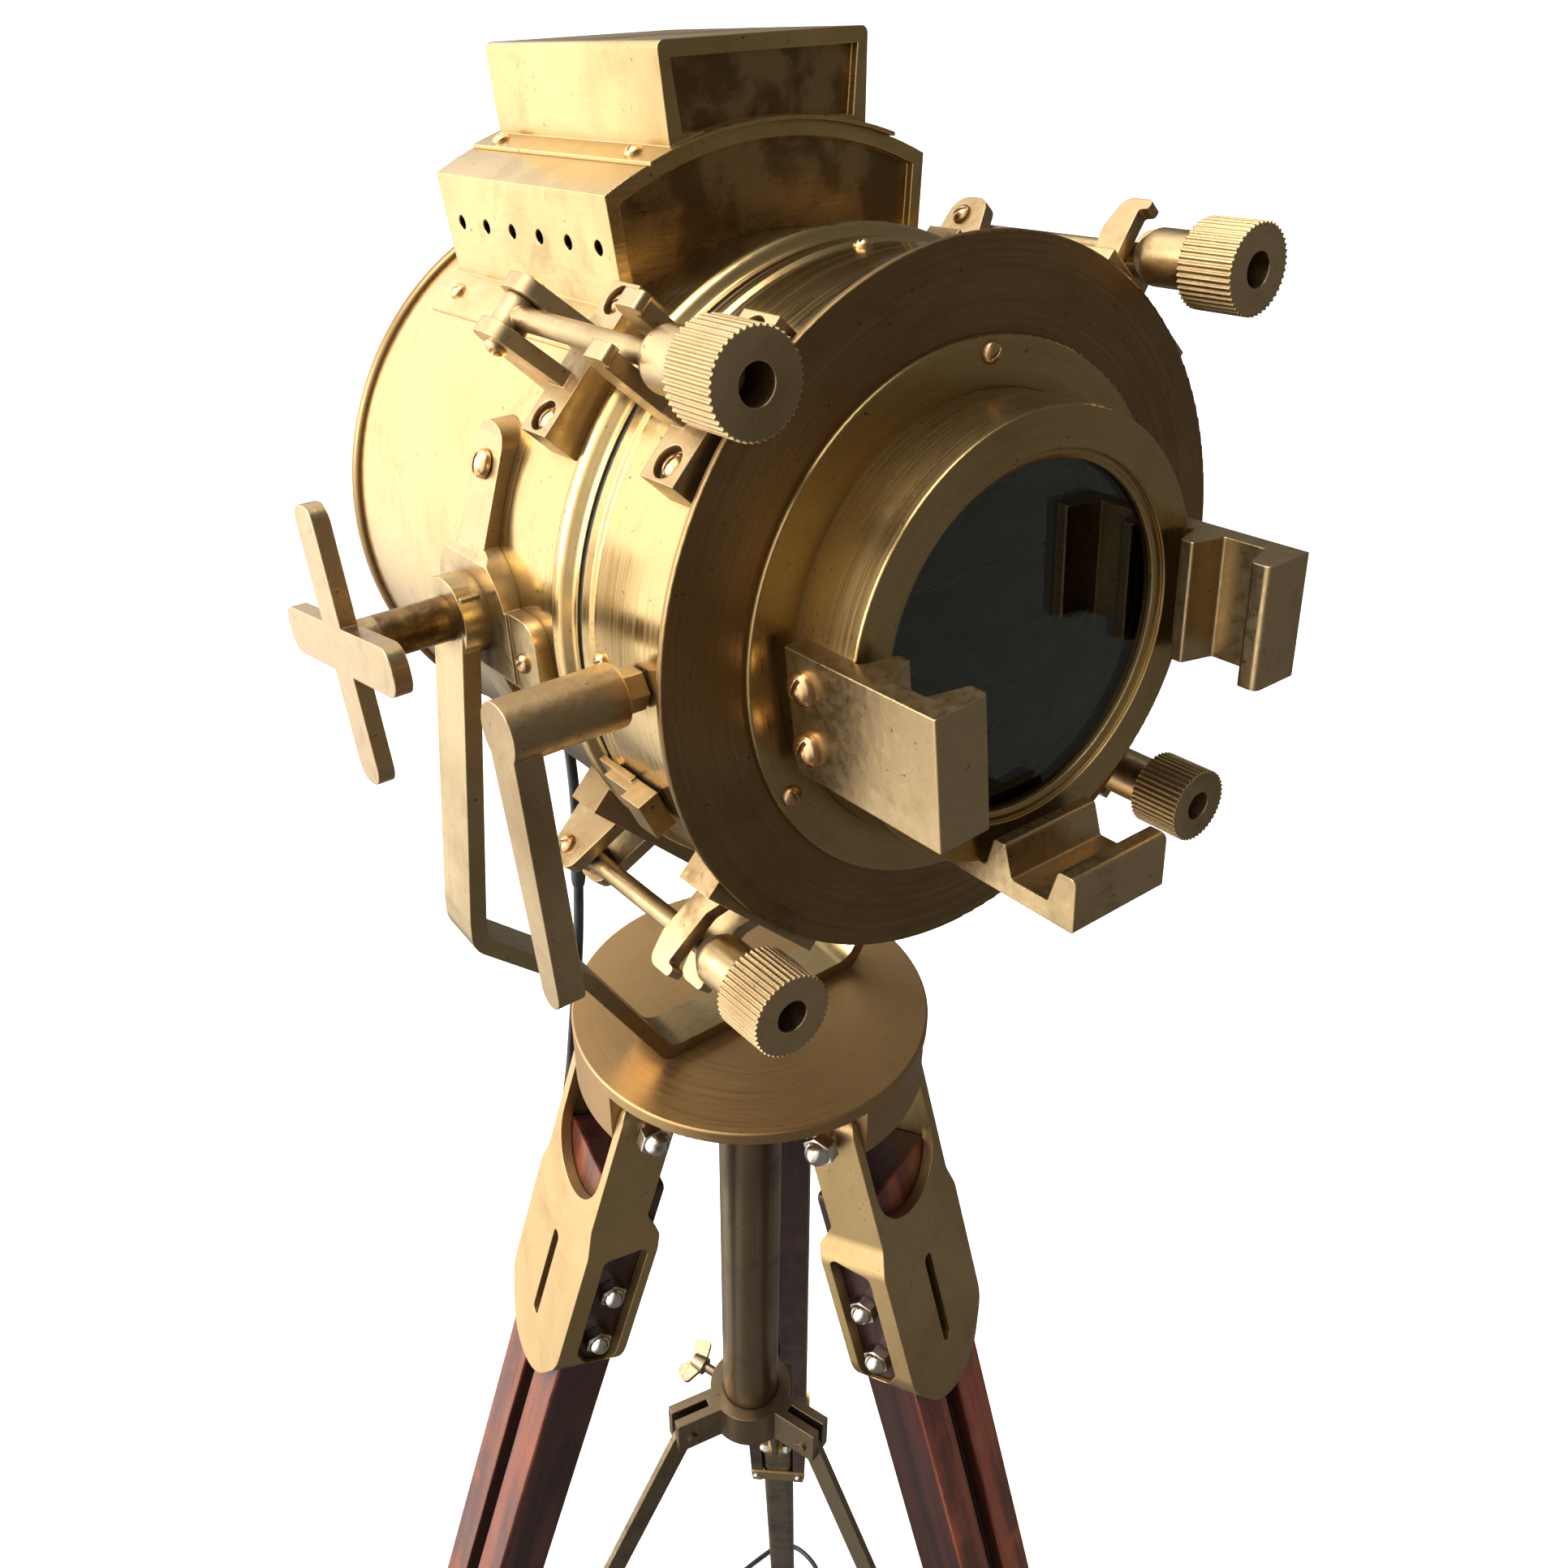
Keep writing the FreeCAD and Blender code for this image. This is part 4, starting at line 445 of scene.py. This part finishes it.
def bar_and_foot(name, where):
    """The lower leg: a grey-brown brushed bar above, its black rubber foot below."""
    f = Finish(name)
    here = f.place()
    _, _, z = f.split(here)
    lines = f.noise(f.stretch(f.place(where), (900.0, 900.0, 14.0)), 1.0, 3.0)
    clouds = f.noise(here, 30.0, 5.0, 0.6, 0.4)
    grit = f.noise(here, 700.0, 4.0, 0.65)
    _, rounded = f.edges(0.0008)
    metal = f.mix(f.remap(clouds, 0.40, 0.66), OLIVE, OLIVE_DARK)
    metal = f.mix(f.remap(lines, 0.30, 0.70, 0.4, 0.0), metal, OLIVE_DARK)
    rubber = f.mix(f.remap(grit, 0.40, 0.70), (0.012, 0.012, 0.012), (0.036, 0.034, 0.032))
    foot = f.remap(z, FOOT_TOP, FOOT_TOP - 0.0006)
    height = f.math("ADD", lines, f.math("MULTIPLY", f.math("MULTIPLY", grit, foot), 6.0))
    f.set(Base_Color=f.mix(foot, metal, rubber), Metallic=f.math("SUBTRACT", 1.0, foot),
          Roughness=f.remap(foot, 0.0, 1.0, 0.36, 0.78),
          Normal=f.bump(height, 0.00003, rounded))
    return f.material


def rubber(name, colour, sheen, gloss, depth=0.00004):
    """Moulded black PVC or rubber, faintly scuffed and dusty."""
    f = Finish(name)
    here = f.place()
    cloud = f.noise(here, 38.0, 5.0, 0.6)
    grit = f.noise(here, 900.0, 3.0, 0.6)
    tint = f.mix(f.remap(cloud, 0.42, 0.70), colour, sheen)
    tint = f.mix(f.remap(grit, 0.64, 0.76, 0.0, 0.5), tint, tuple(c * 2.2 for c in sheen))
    f.set(Base_Color=tint, Roughness=f.remap(cloud, 0.35, 0.70, gloss, gloss + 0.16),
          Normal=f.bump(grit, depth))
    return f.material


def lens_glass():
    """Smoked front glass: clear enough to show the vanes, with a little dust on it."""
    f = Finish("lens_glass")
    here = f.place()
    dust = f.noise(here, 130.0, 6.0, 0.7)
    smear = f.noise(f.stretch(f.place(HEAD_FRAME), (1.0, 3.0, 1.0)), 22.0, 5.0, 0.6, 0.8)
    tint = f.mix(f.remap(smear, 0.40, 0.70), (0.105, 0.125, 0.085), (0.080, 0.097, 0.063))
    f.set(Base_Color=tint, Roughness=f.remap(dust, 0.72, 0.92, 0.0, 0.05), IOR=1.5,
          Transmission_Weight=1.0)
    return f.material


def vane_paint():
    """Blackened sheet brass, its edges painted pale as a highlight."""
    f = Finish("vane_metal")
    here = f.place()
    cloud = f.noise(here, 60.0, 5.0, 0.6)
    scratch = f.noise(f.stretch(f.place(HEAD_FRAME), (12.0, 900.0, 400.0)), 1.0, 3.0)
    edge, rounded = f.edges(0.0006)
    colour = f.mix(f.remap(cloud, 0.40, 0.70), (0.003, 0.004, 0.003), (0.007, 0.009, 0.005))
    colour = f.mix(f.remap(scratch, 0.72, 0.80, 0.0, 0.15), colour, (0.06, 0.057, 0.045))
    # painted highlight: the edges pale against the black body
    colour = f.mix(edge, colour, (0.60, 0.57, 0.50))
    f.set(Base_Color=colour, Roughness=f.remap(cloud, 0.35, 0.70, 0.50, 0.65),
          Specular_IOR_Level=0.12, Normal=rounded)
    return f.material


def opal_glass():
    f = Finish("bulb_glass")
    here = f.place()
    haze = f.noise(here, 90.0, 4.0, 0.6)
    f.set(Base_Color=f.mix(f.remap(haze, 0.4, 0.7), (0.80, 0.78, 0.72), (0.93, 0.91, 0.86)),
          Roughness=f.remap(haze, 0.3, 0.7, 0.10, 0.22), Transmission_Weight=0.35)
    return f.material


def paint_nodes():
    """Gives every CAD node its finish."""
    stand = Matrix.Identity(4)
    turned = rings(HEAD_FRAME)
    gold = brass("antique_brass", GOLD, GOLD_DARK, turned, 0.17, 0.34, 0.12)
    # the sheet's sunk front and rear panels are painted dark brown as their dark reflection
    sheet = brass("sheet_brass", GOLD, GOLD_DARK, along(HEAD_FRAME, (14.0, 900.0, 60.0)),
                  0.20, 0.46, 0.08, 0.00006, 0.010, panels_painted_dark)
    cast = brass("cast_brass", CAST, CAST_DARK, along(HEAD_FRAME, (260.0, 260.0, 260.0)),
                 0.29, 0.62, 0.14, 0.00012)
    handle = brass("handle_brass", CAST, CAST_DARK, along(HEAD_FRAME, (260.0, 260.0, 260.0)),
                   0.27, 0.50, 0.14, 0.00010, 0.010, beyond(HEAD_FRAME, 0, -0.1575, -0.1565))
    spun = brass("dark_brass", BROWN, BROWN_DARK, turned, 0.33, 0.45, 0.36)
    face = brass("lens_barrel", (0.50, 0.355, 0.160), GOLD_DARK, turned, 0.24, 0.42, 0.20)
    satin = brass("disc_brass", COPPER_TAN, COPPER_DARK, rings(stand, 6.0, 500.0), 0.40, 0.30, 0.10)
    strap = brass("yoke_brass", (0.545, 0.415, 0.215), CAST_DARK, along(stand, (90.0, 900.0, 20.0)),
                  0.25, 0.50, 0.14)
    olive = brass("column_brass", OLIVE, OLIVE_DARK, along(stand, (700.0, 700.0, 9.0)),
                  0.31, 0.50, 0.28)
    screw = brass("screw_brass", SCREW, SCREW_DARK, along(stand, (500.0, 500.0, 500.0)), 0.22, 0.35,
                  0.12, 0.00002, 0.003)
    nickel = plain_metal("nickel", (0.80, 0.77, 0.72), (0.33, 0.27, 0.20), 0.12)
    alloy = plain_metal("reflector_alu", (0.83, 0.82, 0.80), (0.45, 0.44, 0.42), 0.10)
    black = rubber("black_rubber", (0.010, 0.010, 0.011), (0.030, 0.030, 0.031), 0.42)
    glossy = rubber("black_flex", (0.006, 0.006, 0.008), (0.018, 0.019, 0.022), 0.24, 0.00001)
    finishes = {
        gold: ["drum_shell", "front_ring"],
        sheet: ["chimney_box", "chimney_stack"],
        handle: ["tilt_handle"],
        cast: ["trunnions", "clevises", "shutter_lever", "filter_holders", "ring_fittings",
               "bolt_ul", "bolt_ur", "bolt_ll", "bolt_lr",
               "knob_ul", "knob_ur", "knob_ll", "knob_lr"],
        spun: ["front_flange", "rear_cover", "lamp_holder"],
        face: ["snout", "retaining_ring"],
        satin: ["head_disc"],
        strap: ["yoke_bar"],
        olive: ["column", "spider", "thumb_screw", "strut_a", "strut_b", "strut_c"],
        screw: ["head_screws"],
        nickel: ["tripod_bolts", "leg_a_bolts", "leg_b_bolts", "leg_c_bolts"],
        alloy: ["reflector"],
        black: ["seam_gasket", "cord_gland", "plug"],
        glossy: ["cord_sleeve"],
        vane_paint(): ["shutter_frame", "vane_1", "vane_2", "vane_3"],
        lens_glass(): ["front_glass"],
        opal_glass(): ["lamp_bulb"],
    }
    for name in LEG_TURN:
        where = leg_frame(name)
        plate = brass("saddle_brass_" + name, (0.600, 0.430, 0.205), (0.260, 0.165, 0.068),
                      along(where, (700.0, 700.0, 40.0)), 0.38, 0.34, 0.10)
        finishes[plate] = ["leg_%s_saddle" % name]
        finishes[mahogany("mahogany_" + name, where)] = ["leg_%s_wood" % name]
        finishes[bar_and_foot("lower_leg_" + name, where)] = ["leg_%s_lower" % name]
    for finish, names in finishes.items():
        for name in names:
            slots = NODES[name].material_slots
            for slot in slots:
                slot.material = finish
    return glossy


# ---------------------------------------------------------------- studio
def add_light(name, at, aim, size, power, colour):
    data = bpy.data.lights.new(name, "AREA")
    data.shape = "DISK"
    data.size = size
    data.energy = power
    data.color = colour
    lamp = bpy.data.objects.new(name, data)
    lamp.location = at
    lamp.rotation_euler = (Vector(aim) - Vector(at)).to_track_quat("-Z", "Y").to_euler()
    bpy.context.scene.collection.objects.link(lamp)
    return lamp


def add_studio():
    """A pale floor, a bright soft side on the left and a dim room on the right."""
    data = bpy.data.meshes.new("floor")
    reach = 60.0
    corners = [(-reach, -reach, 0), (reach, -reach, 0), (reach, reach, 0), (-reach, reach, 0)]
    data.from_pydata(corners, [], [(0, 1, 2, 3)])
    floor = bpy.data.objects.new("floor", data)
    bpy.context.scene.collection.objects.link(floor)
    floor.visible_glossy = False
    f = Finish("studio_floor")
    cloud = f.noise(f.place(), 1.3, 4.0)
    f.set(Base_Color=f.mix(cloud, (0.90, 0.90, 0.90), (0.93, 0.93, 0.93)), Roughness=0.8)
    data.materials.append(f.material)

    sun = bpy.data.lights.new("overhead", "SUN")
    sun.energy = 2.3
    sun.angle = math.radians(40)
    lamp = bpy.data.objects.new("overhead", sun)
    lamp.rotation_euler = Euler((math.radians(12), math.radians(-22), 0))
    lamp.visible_glossy = False
    bpy.context.scene.collection.objects.link(lamp)
    add_light("window", (-2.2, 1.0, 2.6), HEAD_CENTRE, 1.6, 60.0, (1.0, 0.96, 0.90))
    add_light("ceiling", (-0.6, 0.4, 4.2), HEAD_CENTRE, 1.8, 45.0, (1.0, 0.97, 0.93))

    world = bpy.data.worlds.new("room")
    world.use_nodes = True
    tree = world.node_tree
    sky = tree.nodes["Background"]
    coords = tree.nodes.new("ShaderNodeTexCoord")
    dot = tree.nodes.new("ShaderNodeVectorMath")
    dot.operation = "DOT_PRODUCT"
    dot.inputs[1].default_value = Vector((-0.78, 0.52, 0.35)).normalized()
    tree.links.new(coords.outputs["Generated"], dot.inputs[0])
    ramp = tree.nodes.new("ShaderNodeValToRGB")
    ramp.color_ramp.interpolation = "EASE"
    ramp.color_ramp.elements[0].position = 0.0
    ramp.color_ramp.elements[0].color = (0.16, 0.15, 0.14, 1)
    ramp.color_ramp.elements[1].position = 0.80
    ramp.color_ramp.elements[1].color = (2.30, 2.22, 2.08, 1)
    tree.links.new(dot.outputs["Value"], ramp.inputs["Fac"])
    tree.links.new(ramp.outputs["Color"], sky.inputs["Color"])
    # the room lights and reflects as above, but behind the object it is plain and pale
    plain = tree.nodes.new("ShaderNodeBackground")
    plain.inputs["Color"].default_value = (0.93, 0.93, 0.92, 1)
    seen = tree.nodes.new("ShaderNodeMixShader")
    tree.links.new(tree.nodes.new("ShaderNodeLightPath").outputs["Is Camera Ray"], seen.inputs[0])
    tree.links.new(sky.outputs[0], seen.inputs[1])
    tree.links.new(plain.outputs[0], seen.inputs[2])
    tree.links.new(seen.outputs[0], tree.nodes["World Output"].inputs["Surface"])
    bpy.context.scene.world = world
    bpy.context.scene.view_settings.view_transform = "Standard"


# ---------------------------------------------------------------- all of it
add_camera()
cords = add_cords()
flex_finish = paint_nodes()
for piece in cords:
    piece.data.materials.append(flex_finish)
add_studio()
